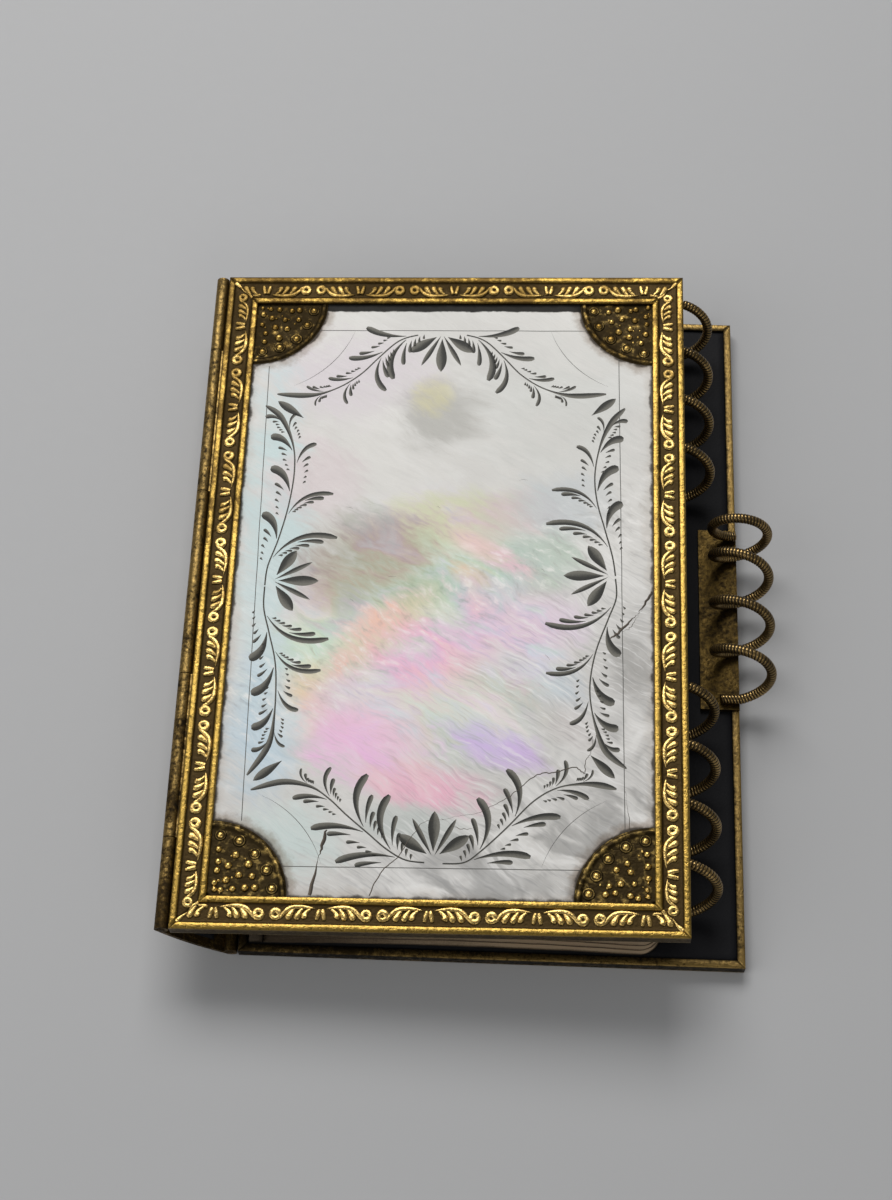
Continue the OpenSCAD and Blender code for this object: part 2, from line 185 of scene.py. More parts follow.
class Sock:
    """A value in a shader that can be added, multiplied, compared and fed to any other node."""

    def __init__(self, shader: "Shader", socket: bpy.types.NodeSocket) -> None:
        """Wraps a node's output together with the shader that it belongs to."""
        self.shader = shader
        self.socket = socket

    def math(self, operation: str, *others: Operand, clamp: bool = False) -> "Sock":
        """Applies a maths node to this value.

        Args:
            operation: The node's operation.
            others: Its other operands.
            clamp: Whether the result is kept from 0 to 1.

        Returns:
            The result.
        """
        props = {"operation": operation, "use_clamp": clamp}
        inputs = {i: v for i, v in enumerate((self, *others))}
        return self.shader.node("ShaderNodeMath", props=props, inputs=inputs)

    def __add__(self, other: Operand) -> "Sock":
        """Returns the sum."""
        return self.math("ADD", other)

    def __radd__(self, other: Operand) -> "Sock":
        """Returns the sum."""
        return self.math("ADD", other)

    def __sub__(self, other: Operand) -> "Sock":
        """Returns the difference."""
        return self.math("SUBTRACT", other)

    def __rsub__(self, other: float) -> "Sock":
        """Returns a number less this value."""
        return (self * -1.0) + other

    def __mul__(self, other: Operand) -> "Sock":
        """Returns the product."""
        return self.math("MULTIPLY", other)

    def __rmul__(self, other: Operand) -> "Sock":
        """Returns the product."""
        return self.math("MULTIPLY", other)

    def __truediv__(self, other: Operand) -> "Sock":
        """Returns the quotient."""
        return self.math("DIVIDE", other)

    def __pow__(self, other: Operand) -> "Sock":
        """Returns the power."""
        return self.math("POWER", other)

    def __abs__(self) -> "Sock":
        """Returns the value without its sign."""
        return self.math("ABSOLUTE")

    def least(self, other: Operand) -> "Sock":
        """Returns the smaller of this value and another."""
        return self.math("MINIMUM", other)

    def most(self, other: Operand) -> "Sock":
        """Returns the larger of this value and another."""
        return self.math("MAXIMUM", other)

    def step(self, low: float, high: float) -> "Sock":
        """Eases from 0 at low to 1 at high; low may be the larger.

        Args:
            low: Where the result is 0.
            high: Where the result is 1.

        Returns:
            The eased value.
        """
        inputs = {"Value": self, "From Min": low, "From Max": high}
        return self.shader.node(
            "ShaderNodeMapRange", props={"interpolation_type": "SMOOTHSTEP"}, inputs=inputs
        )


class Shader:
    """Builds one procedural material from nodes."""

    # The Mix node's inputs and output for colours.
    MIX_LOW, MIX_HIGH = 6, 7
    MIX_COLOUR = 2

    def __init__(self, name: str) -> None:
        """Starts a new material with its surface shader."""
        self.material = bpy.data.materials.new(name)
        self.material.use_nodes = True
        self.tree = self.material.node_tree
        self.surface = self.tree.nodes["Principled BSDF"]

    def node(
        self,
        kind: str,
        out: Union[int, str] = 0,
        props: Optional[dict] = None,
        inputs: Optional[dict] = None,
    ) -> Sock:
        """Adds any node.

        Args:
            kind: The node's type.
            out: Which of its outputs is wanted.
            props: Its settings.
            inputs: Values or other results for its inputs, by name or number.

        Returns:
            The wanted output.
        """
        made = self.tree.nodes.new(kind)
        for key, value in (props or {}).items():
            setattr(made, key, value)
        for key, value in (inputs or {}).items():
            self._feed(made.inputs[key], value)
        return Sock(self, made.outputs[out])

    def _feed(self, socket: bpy.types.NodeSocket, value: Operand) -> None:
        """Links a result to an input, or sets a plain value on it."""
        if isinstance(value, Sock):
            self.tree.links.new(value.socket, socket)
        elif socket.type == "RGBA":
            socket.default_value = (*value[:3], 1.0)
        else:
            socket.default_value = value

    def set(self, **values: Operand) -> None:
        """Sets or drives the surface's own inputs, with spaces in their names as underscores."""
        for key, value in values.items():
            self._feed(self.surface.inputs[key.replace("_", " ")], value)

    def place(self) -> Sock:
        """Returns the point being shaded, in millimetres."""
        at = self.node("ShaderNodeTexCoord", "Object")
        inputs = {0: at, "Scale": 1 / MM}
        return self.node("ShaderNodeVectorMath", props={"operation": "SCALE"}, inputs=inputs)

    def uv(self) -> tuple[Sock, Sock]:
        """Returns the two surface coordinates."""
        at = self.node("ShaderNodeUVMap", props={"uv_map": "UVMap"})
        return self.part(at, 0), self.part(at, 1)

    def part(self, vector: Sock, which: int) -> Sock:
        """Returns one component of a vector."""
        return self.node("ShaderNodeSeparateXYZ", which, inputs={0: vector})

    def vector(self, x: Operand, y: Operand, z: Operand = 0.0) -> Sock:
        """Joins three values to a vector."""
        return self.node("ShaderNodeCombineXYZ", inputs={0: x, 1: y, 2: z})

    def relief(self) -> Sock:
        """Returns the height stored on the mesh: 0 in the sunk ground, 1 on the raised work."""
        return self.node("ShaderNodeAttribute", "Fac", props={"attribute_name": "relief"})

    def noise(
        self, at: Sock, scale: float, detail: float = 3.0, rough: float = 0.55, twist: float = 0.0
    ) -> Sock:
        """Returns cloudy noise from 0 to 1; scale is in features per millimetre."""
        inputs = {"Vector": at, "Scale": scale, "Detail": detail, "Roughness": rough, "Distortion": twist}
        return self.node("ShaderNodeTexNoise", inputs=inputs)

    def mix(self, factor: Operand, low: Operand, high: Operand) -> Sock:
        """Mixes two colours."""
        return self.tone(low, factor, high, "MIX")

    def tone(self, base: Operand, factor: Operand, colour: Operand, blend: str) -> Sock:
        """Lays a colour over another with a blend mode."""
        props = {"data_type": "RGBA", "blend_type": blend}
        inputs = {0: factor, self.MIX_LOW: base, self.MIX_HIGH: colour}
        return self.node("ShaderNodeMix", self.MIX_COLOUR, props=props, inputs=inputs)

    def bump(self, height: Sock, depth_mm: float, strength: float = 1.0) -> None:
        """Raises the surface by a height from 0 to 1."""
        inputs = {"Strength": strength, "Distance": depth_mm * MM, "Height": height}
        self.set(Normal=self.node("ShaderNodeBump", inputs=inputs))


@dataclass(frozen=True)
class Gilt:
    """Stamped and gilded metal, bright where it stands proud and brown in the sunk ground."""

    name: str
    bright: Colour = (0.4, 0.262, 0.062)
    dull: Colour = (0.12, 0.073, 0.02)
    ground: Colour = (0.05, 0.031, 0.009)
    kept: float = 0.62
    gloss: float = 0.2
    grain: float = 1.6
    stamped: bool = True
    pits: float = 0.75
    remains: float = 0.0
    # Change of wear per millimetre towards the fore-edge and towards the head; this slope also paints light
    # and shade, making one side of the cover brighter and the other duller.
    fade: Flat = (0.002, -0.0045)

    def build(self) -> bpy.types.Material:
        """Returns the material."""
        sh = Shader(self.name)
        at = sh.place()
        cloud = sh.noise(at, 0.22, 4.0)
        speck = sh.noise(at, self.grain, 5.0, 0.65)
        beaten = sh.noise(at, 2.4, 2.0, 0.5, 0.4)
        fine = sh.noise(at, 9.0, 2.0)
        height = sh.relief() if self.stamped else cloud * 0.5 + 0.2
        if self.remains:
            height = height + sh.noise(at, 0.8, 4.0, 0.6).step(0.5, 0.66) * self.remains
        lift = (height + (speck - 0.5) * (0.5 if self.stamped else 1.1)).step(0.16, 0.62)
        x, y = sh.part(at, 0), sh.part(at, 1)
        # The noise is wear; the slope across the cover is painted light and shade.
        age = cloud + (speck - 0.5) * 0.9 + (fine - 0.5) * 0.3 + x * self.fade[0] + y * self.fade[1]
        worn = age.step(0.72 - self.kept * 0.4, 0.36 - self.kept * 0.3)
        metal = sh.mix(worn, self.bright, self.dull)
        metal = sh.mix((speck * 0.6 + beaten * 0.4).step(0.53, 0.66) * self.pits, metal, self.ground)
        sh.set(
            Base_Color=sh.mix(lift, self.ground, metal),
            Metallic=lift * 0.14 + 0.85,
            Roughness=(1.0 - lift) * 0.2 + worn * 0.14 + beaten * 0.2 + self.gloss,
            Specular_IOR_Level=0.5,
        )
        sh.bump(beaten * 0.55 + speck * 0.3 + fine * 0.15, 0.12, 0.85)
        return sh.material


@dataclass(frozen=True)
class Glow:
    """A cloud of colour in mother-of-pearl, in millimetres from the plaque's middle."""

    x: float
    y: float
    wide: float
    high: float
    turn: float
    colour: Colour
    weight: float


@dataclass(frozen=True)
class Growth:
    """Where a point of a plaque lies, and the growth lines of the shell there."""

    x: Sock
    y: Sock
    along: Sock
    across: Sock
    slow: Sock
    low: Sock
    fibre: Sock
    wave: Sock
    shine: Sock


@dataclass(frozen=True)
class Nacre:
    """Polished mother-of-pearl: silvery, streaked, with soft clouds of colour, and dirt with painted shade
    along its edges.
    """

    name: str
    middle: Flat
    half: Flat
    corner: float
    glows: tuple[Glow, ...] = ()
    base: Colour = (0.71, 0.705, 0.685)
    play: float = 0.24
    # Width in millimetres of the painted shadow along the head edge; 0 leaves it out.
    gap: float = 0.0

    def build(self) -> bpy.types.Material:
        """Returns the material."""
        sh = Shader(self.name)
        shell = self._growth(sh)
        colour, streak = self._clouds(sh, shell)
        colour = self._lustre(sh, shell, colour, streak)
        colour, dirt_and_shade = self._edges(sh, shell, colour)
        sh.set(
            Base_Color=colour,
            Roughness=shell.fibre * 0.16 + shell.shine * 0.1 + dirt_and_shade * 0.6 + 0.16,
            Coat_Weight=(1.0 - dirt_and_shade) * 0.16,
            Coat_Roughness=0.3,
            Specular_IOR_Level=0.45,
        )
        sh.bump(shell.wave * 0.5 + shell.fibre * 0.3 + shell.shine * 0.2, 0.03, 0.3)
        return sh.material

    def _growth(self, sh: Shader) -> Growth:
        """Works out the growth lines, which run down to the right.

        Args:
            sh: The material that is being built.

        Returns:
            The lines, with the place on the plaque in millimetres.
        """
        at = sh.place()
        x, y = sh.part(at, 0) - self.middle[0], sh.part(at, 1) - self.middle[1]
        warp = sh.noise(sh.vector(x, y), 0.07, 4.0) - 0.5
        slow = sh.noise(sh.vector(x * 0.6, y), 0.045, 3.0)
        along = x * 0.84 - y * 0.54
        across = y * 0.84 + x * 0.54 + warp * 5.0
        return Growth(
            x,
            y,
            along,
            across,
            slow,
            low=(y + (slow - 0.5) * 30.0).step(16.0, -8.0),
            fibre=sh.noise(sh.vector(along * 0.09, across * 1.2), 2.0, 4.0, 0.58, 0.3),
            wave=sh.noise(sh.vector(along * 0.42, across), 0.22, 5.0, 0.58, 0.6),
            shine=sh.noise(sh.vector(along * 0.42, across), 0.95, 4.0, 0.6, 0.25),
        )

    def _clouds(self, sh: Shader, shell: Growth) -> tuple[Sock, Sock]:
        """Lays the clouds of colour over the silvery base.

        Args:
            sh: The material that is being built.
            shell: Its growth lines.

        Returns:
            The colour so far, and the streaks that fray the clouds.
        """
        colour = sh.mix(shell.slow.step(0.35, 0.68), self.base, [c * 0.84 for c in self.base])
        streak = (shell.wave - 0.5) * 3.0 + (shell.fibre - 0.5) * 0.7 + (shell.shine - 0.5) * 1.2
        for spot in self.glows:
            c, s = math.cos(math.radians(spot.turn)), math.sin(math.radians(spot.turn))
            x, y = shell.x - spot.x, shell.y - spot.y
            u, v = (x * c + y * s) / spot.wide, (y * c - x * s) / spot.high
            colour = sh.mix((u * u + v * v + streak).step(1.4, -0.2) * spot.weight, colour, spot.colour)
            streak = streak * -1.0
        return colour, streak

    def _lustre(self, sh: Shader, shell: Growth, colour: Sock, streak: Sock) -> Sock:
        """Adds the play of colour, the fine streaks and the crumpled corner.

        Args:
            sh: The material that is being built.
            shell: Its growth lines.
            colour: The colour so far.
            streak: The streaks that fray the clouds.

        Returns:
            The new colour.
        """
        x, y, slow, low = shell.x, shell.y, shell.slow, shell.low
        fibre, wave, shine = shell.fibre, shell.wave, shell.shine

        def oval(middle: Flat, wide: float, high: float, fray: float) -> Sock:
            """Returns the squared distance from an oval's middle in its radii, with a frayed edge."""
            u, v = (x - middle[0]) / wide, (y - middle[1]) / high
            return u * u + v * v + streak * fray

        phase = (fibre * 0.3 + wave * 2.4 + shine * 0.5 + y * 0.04 - x * 0.02) * (2 * math.pi)
        sheen = sh.node(
            "ShaderNodeCombineColor",
            inputs={i: (phase + i * 2.094).math("COSINE") * 0.26 + 0.72 for i in range(3)},
        )
        colour = sh.mix(oval((-2.0, -7.0), 19.0, 20.0, 0.5).step(1.3, 0.1) * self.play, colour, sheen)
        bank = (abs((y + 5.5) * 0.87 - (x + 2.5) * 0.49) + (slow - 0.5) * 8.0).step(8.0, 1.0)
        right = (x * 0.05 - y * 0.04 + (slow - 0.5) * 1.6).step(0.1, 1.3)
        fold = sh.noise(sh.vector(shell.along * 0.6, shell.across), 0.2, 3.0, 0.5, 1.2)
        brown = oval((-9.5, 3.0), 12.0, 8.0, 0.6).step(1.2, 0.1)
        crumple = ((x - 1.0) * 0.045 - (y + 27.0) * 0.06).step(0.1, 0.8)
        for amount, tint, blend in (
            (fibre.step(0.5, 0.66) * (right * 0.3 + low * 0.14 + 0.06), (0.56, 0.58, 0.6), "MULTIPLY"),
            (shine.step(0.52, 0.72) * (bank * 0.45 + low * 0.14), (0.5, 0.48, 0.46), "MULTIPLY"),
            (wave.step(0.5, 0.66) * (low * 0.12 + 0.14), (0.9, 0.91, 0.92), "SCREEN"),
            (shine.step(0.5, 0.28) * (bank * 0.5 + low * 0.2), (0.92, 0.88, 0.86), "SCREEN"),
            (fibre.step(0.46, 0.34) * right * 0.5, (0.9, 0.91, 0.93), "SCREEN"),
            (fold.step(0.48, 0.66) * crumple * 0.7, (0.4, 0.41, 0.4), "MULTIPLY"),
            (fold.step(0.5, 0.32) * crumple * 0.7, (0.88, 0.88, 0.86), "SCREEN"),
            (brown * 0.42, (0.6, 0.55, 0.48), "MULTIPLY"),
            ((1.0 - brown) * low * 0.2, (0.6, 0.56, 0.6), "SCREEN"),
        ):
            colour = sh.tone(colour, amount, tint, blend)
        return colour

    def _edges(self, sh: Shader, shell: Growth, colour: Sock) -> tuple[Sock, Sock]:
        """Adds dirt and painted shade along the strips and corner pieces, and the painted shadow along the
        head.

        Args:
            sh: The material that is being built.
            shell: Its growth lines.
            colour: The colour so far.

        Returns:
            The new colour, and where dirt and painted shade darken the rim and the head edge, which is also
            where the surface is rough.
        """
        x, y = shell.x, shell.y
        side = (abs(x) * -1.0 + self.half[0]).least(abs(y) * -1.0 + self.half[1])
        u, v = abs(x) - self.half[0], abs(y) - self.half[1]
        round_off = (u * u + v * v) ** 0.5 - self.corner
        rim = side.least(round_off)
        dirt = sh.noise(sh.vector(x, y), 0.5, 5.0, 0.6)
        # Near-black rim along the strips and corner pieces: dirt in the joint, and painted shade in the
        # recess under the frame.
        dirt_and_shade = (rim + (dirt - 0.5) * 1.3).step(0.5, 0.1)
        haze = (rim + (shell.slow - 0.5) * 4.0 + (dirt - 0.5) * 2.5).step(1.5, 0.1)
        stain = (round_off + (dirt - 0.5) * 3.0).step(1.6, 0.2)
        colour = sh.tone(colour, haze * 0.35, (0.58, 0.5, 0.42), "MULTIPLY")
        colour = sh.tone(colour, stain * 0.6, (0.42, 0.32, 0.24), "MULTIPLY")
        colour = sh.mix(dirt_and_shade * 0.88, colour, (0.045, 0.035, 0.025))
        # Painted shadow: a near-black band along the head edge, where the head strip shades the gap over the
        # plaque.
        if self.gap:
            head_shadow = (self.half[1] - y + (dirt - 0.5) * 0.7).step(self.gap + 0.12, self.gap - 0.12)
            colour = sh.mix(head_shadow * 0.96, colour, (0.006, 0.006, 0.005))
            dirt_and_shade = dirt_and_shade.most(head_shadow)
        return colour, dirt_and_shade


@dataclass(frozen=True)
class Engraved:
    """A cut filled with dark wax, with painted shade across it: darker along one side and paler along the
    other; cracks use a browner, narrower one.
    """

    name: str
    dark: Colour = (0.022, 0.023, 0.02)
    pale: Colour = (0.2, 0.195, 0.17)

    def build(self) -> bpy.types.Material:
        """Returns the material."""
        sh = Shader(self.name)
        u, v = sh.uv()
        at = sh.place()
        grain = sh.noise(at, 4.0, 4.0)
        lines = sh.noise(sh.vector(u * 0.8, v * 9.0), 2.2, 3.0)
        # Painted shade and light across the cut: dark along one side, paler towards the other.
        light = (v + (u - 0.5) * 0.3 + (lines - 0.5) * 0.6 + (grain - 0.5) * 0.3).step(0.25, 1.0)
        sh.set(
            Base_Color=sh.mix(light, self.dark, self.pale),
            Roughness=grain * 0.2 + 0.42,
            Specular_IOR_Level=0.3,
        )
        sh.bump(lines, 0.02, 0.4)
        return sh.material


@dataclass(frozen=True)
class Wound:
    """Bronze wire wound with finer wire: near black between the windings as painted shade, lighter on top of
    them from rubbing and a painted highlight.
    """

    name: str
    # Painted shade between the windings.
    deep: Colour = (0.018, 0.012, 0.006)
    # The windings' tops, lighter from rubbing and as a painted highlight.
    rubbed: Colour = (0.46, 0.31, 0.12)

    def build(self) -> bpy.types.Material:
        """Returns the material."""
        sh = Shader(self.name)
        at = sh.place()
        cloud = sh.noise(at, 0.35, 4.0)
        speck = sh.noise(at, 3.0, 4.0)
        lift = (sh.relief() + (speck - 0.5) * 0.5).step(0.3, 1.0)
        metal = sh.mix(cloud.step(0.35, 0.65), self.rubbed, [c * 0.42 for c in self.rubbed])
        sh.set(
            Base_Color=sh.mix(lift, self.deep, metal),
            Metallic=lift * 0.3 + 0.65,
            Roughness=(1.0 - lift) * 0.25 + speck * 0.12 + 0.18,
            Specular_IOR_Level=0.5,
        )
        sh.bump(speck, 0.02, 0.5)
        return sh.material


class Weave(Enum):
    """Kinds of soft or fibrous stuff."""

    LEATHER = "leather"
    PAPER = "paper"
    CLOTH = "cloth"
    BOARD = "board"


@dataclass(frozen=True)
class Stuff:
    """Paper, board, cloth or thin leather with stains, fibres and a soft surface."""

    name: str
    kind: Weave
    base: Colour
    stain: Colour
    amount: float = 0.5

    def build(self) -> bpy.types.Material:
        """Returns the material."""
        sh = Shader(self.name)
        at = sh.place()
        x, y = sh.part(at, 0), sh.part(at, 1)
        cloud = sh.noise(at, 0.13, 5.0)
        fine = sh.noise(at, 5.0, 4.0, 0.7)
        if self.kind is Weave.CLOTH:
            threads = (x * 21.0).math("SINE") * (y * 21.0).math("SINE") * 0.5 + 0.5
        elif self.kind is Weave.LEATHER:
            inputs = {"Vector": at, "Scale": 2.6}
            threads = sh.node("ShaderNodeTexVoronoi", props={"feature": "F1"}, inputs=inputs)
        else:
            threads = sh.noise(sh.vector(x * 0.25, y * 3.0), 1.4, 5.0, 0.7)
        patch = (cloud + (fine - 0.5) * 0.3).step(0.42, 0.78)
        colour = sh.mix(patch * self.amount, self.base, self.stain)
        if self.kind is Weave.PAPER:
            # Paper darkens to near-black brown where its relief is low: browned edges, with painted shade
            # between the leaves and near the fold.
            brown = (sh.relief() + (fine - 0.5) * 0.4 + (cloud - 0.5) * 0.5).step(0.75, 0.05)
            colour = sh.mix(brown * 0.95, colour, [c * 0.13 for c in self.stain])
        colour = sh.tone(colour, threads.step(0.35, 0.8) * 0.25, [0.55] * 3, "MULTIPLY")
        sh.set(Base_Color=colour, Roughness=fine * 0.2 + 0.62, Specular_IOR_Level=0.3)
        sh.bump(threads * 0.6 + fine * 0.4, 0.05, 0.6)
        return sh.material


@dataclass(frozen=True)
class Floor:
    """Plain pale studio floor."""

    name: str
    base: Colour = (0.52, 0.53, 0.55)

    def build(self) -> bpy.types.Material:
        """Returns the material."""
        sh = Shader(self.name)
        fine = sh.noise(sh.place(), 0.6, 3.0)
        sh.set(Base_Color=self.base, Roughness=fine * 0.1 + 0.6)
        return sh.material


class MeshMaker:
    """Collects points with surface coordinates and relief, and faces between them."""

    # How far a raised stroke is let into the ground, and how thick a flat one is.
    SUNK = 0.01
    DEEP = 0.04

    def __init__(self) -> None:
        """Starts without points or faces."""
        self.points: list[tuple[float, float, float]] = []
        self.marks: list[tuple[float, float, float]] = []
        self.faces: list[tuple[int, ...]] = []

    def add(self, x: float, y: float, z: float, u: float = 0.0, v: float = 0.0, relief: float = 1.0) -> int:
        """Adds a point.

        Args:
            x: Along the piece, or towards the fore-edge.
            y: Across it, or towards the head.
            z: Lift out of the face.
            u: First surface coordinate.
            v: Second surface coordinate.
            relief: 0 in sunk ground to 1 on raised work.

        Returns:
            The point's number.
        """
        self.points.append((x, y, z))
        self.marks.append((u, v, relief))
        return len(self.points) - 1

    def grid(self, rows: Sequence[Sequence[int]], across: bool = False, along: bool = False) -> None:
        """Joins rows of points with faces.

        Args:
            rows: Rows of point numbers, all as long.
            across: Whether each row closes on itself.
            along: Whether the last row joins the first.
        """
        count = len(rows[0])
        pairs = list(zip(rows, rows[1:])) + ([(rows[-1], rows[0])] if along else [])
        for a, b in pairs:
            for j in range(count if across else count - 1):
                k = (j + 1) % count
                self.faces.append(tuple(dict.fromkeys((a[j], a[k], b[k], b[j]))))

    def cap(self, rows: Sequence[Sequence[int]]) -> None:
        """Closes both ends of a tube made of rows that close on themselves."""
        self.faces += [tuple(reversed(rows[0])), tuple(rows[-1])]

    def slab(self, inner: list[list[int]], outer: list[list[int]]) -> None:
        """Makes a thin closed sheet.

        Args:
            inner: Rows of points of the face towards the inside of the case.
            outer: Rows of the face on the other side, as many and as long.
        """

        def rim(rows: list[list[int]]) -> list[int]:
            """Returns the points round a face's edge."""
            up, down = [row[-1] for row in rows[:-1]], [row[0] for row in rows[:0:-1]]
            return rows[0][:-1] + up + rows[-1][:0:-1] + down

        self.grid([row[::-1] for row in inner])
        self.grid(outer)
        self.grid([rim(inner), rim(outer)], across=True)

    def mesh(
        self, name: str, place: Optional[Callable[[float, float, float], Vector]] = None, flips: bool = False
    ) -> bpy.types.Mesh:
        """Makes the mesh.

        Args:
            name: Its name.
            place: Turns each point into the row frame in metres; none leaves it as it is.
            flips: Whether the faces are turned round.

        Returns:
            The mesh, smooth shaded.
        """
        made = bpy.data.meshes.new(name)
        points = [place(*p) for p in self.points] if place else self.points
        faces = [tuple(reversed(f)) for f in self.faces] if flips else self.faces
        made.from_pydata([tuple(p) for p in points], [], faces)
        layer = made.uv_layers.new(name="UVMap")
        spots = [0] * len(made.loops)
        made.loops.foreach_get("vertex_index", spots)
        layer.data.foreach_set("uv", [c for i in spots for c in self.marks[i][:2]])
        relief = made.attributes.new("relief", "FLOAT", "POINT")
        relief.data.foreach_set("value", [m[2] for m in self.marks])
        made.polygons.foreach_set("use_smooth", [True] * len(made.polygons))
        made.update()
        return made

    @staticmethod
    def _way(path: Sequence[Flat], i: int, closed: bool = False) -> Vector:
        """Returns the direction of a path at one of its points.

        Args:
            path: The path's points.
            i: The point's number.
            closed: Whether the path is a loop.

        Returns:
            The direction, of length 1.
        """
        count = len(path)
        a = path[(i - 1) % count] if closed or i else path[0]
        b = path[(i + 1) % count] if closed or i < count - 1 else path[-1]
        return Vector((b[0] - a[0], b[1] - a[1])).normalized()

    def stroke(
        self,
        path: Sequence[Flat],
        width: Callable[[float], float],
        height: float,
        sides: int = 6,
        closed: bool = False,
    ) -> None:
        """Lays a half-round raised stroke along a path.

        Args:
            path: Its middle line.
            width: Its width at a share of the path from 0 to 1.
            height: How far it stands up where it is widest; below 0 it hangs down.
            sides: Faces across it.
            closed: Whether the path is a loop.
        """
        count = len(path)
        widest = max(width(i / (count - 1)) for i in range(count)) or 1.0
        rows = []
        for i, (x, y) in enumerate(path):
            t = i / (count - 1)
            run = self._way(path, i, closed)
            w = max(width(t), 0.002) / 2
            h = height * min(1.0, 0.35 + 0.65 * width(t) / widest)
            row = []
            for j in range(sides + 1):
                angle = math.pi * j / sides
                off, up = w * math.cos(angle), max(math.sin(angle), 0.0) ** 0.6
                z = h * up - self.SUNK
                row.append(self.add(x - run.y * off, y + run.x * off, z, t, j / sides, 0.5 + 0.5 * up))
            rows.append(row)
        self.grid(rows, across=True, along=closed)
        if not closed:
            self.cap(rows)

    def lathe(self, profile: Sequence[tuple[float, float, float]], sides: int) -> None:
        """Turns a profile round the upright axis.

        Args:
            profile: Radius, height and relief of each ring, from the rim to the middle.
            sides: Faces round it.
        """
        rows = []
        for r, z, relief in profile:
            turns = [2 * math.pi * j / sides for j in range(sides)]
            rows.append([self.add(r * math.cos(a), r * math.sin(a), z, r, z, relief) for a in turns])
        self.grid(rows, across=True)
        self.cap(rows)

    def ribbon(self, path: Sequence[Flat], width: Callable[[float], float], lift: float) -> None:
        """Lays a thin flat stroke along a path, with its second coordinate across it.

        Args:
            path: Its middle line.
            width: Its width at a share of the path from 0 to 1.
            lift: Height of its upper face.
        """
        rows = []
        count = len(path)
        for i, (x, y) in enumerate(path):
            run = self._way(path, i)
            share = i / (count - 1)
            w = max(width(share), 0.01) / 2
            section = ((1, lift), (0, lift), (-1, lift), (-1, lift - self.DEEP), (1, lift - self.DEEP))
            rows.append(
                [self.add(x - run.y * w * k, y + run.x * w * k, z, share, 0.5 - k / 2) for k, z in section]
            )
        self.grid(rows, across=True)
        self.cap(rows)


def smooth_path(points: Sequence[Flat], per_span: int = 6) -> list[Flat]:
    """Draws a smooth line through points.

    Args:
        points: Points that it passes through.
        per_span: Steps from each to the next.

    Returns:
        The line's points.
    """
    ends = [points[0], *points, points[-1]]
    line = []
    for p0, p1, p2, p3 in zip(ends, ends[1:], ends[2:], ends[3:]):
        for i in range(per_span):
            t = i / per_span
            line.append(
                tuple(
                    0.5
                    * (
                        2 * b
                        + (c - a) * t
                        + (2 * a - 5 * b + 4 * c - d) * t * t
                        + (3 * b - a - 3 * c + d) * t * t * t
                    )
                    for a, b, c, d in zip(p0, p1, p2, p3)
                )
            )
    return line + [tuple(points[-1])]


def wobble(x: float, y: float, z: float = 0.0) -> float:
    """Returns smooth fixed noise from about -1 to 1 at a point."""
    return noise.noise(Vector((x, y, z)))


@dataclass(frozen=True)
class Spot:
    """Where one motif goes, in millimetres on a cover."""

    x: float
    y: float
    lift: float
    turn: float = 0.0
    size: float = 1.0


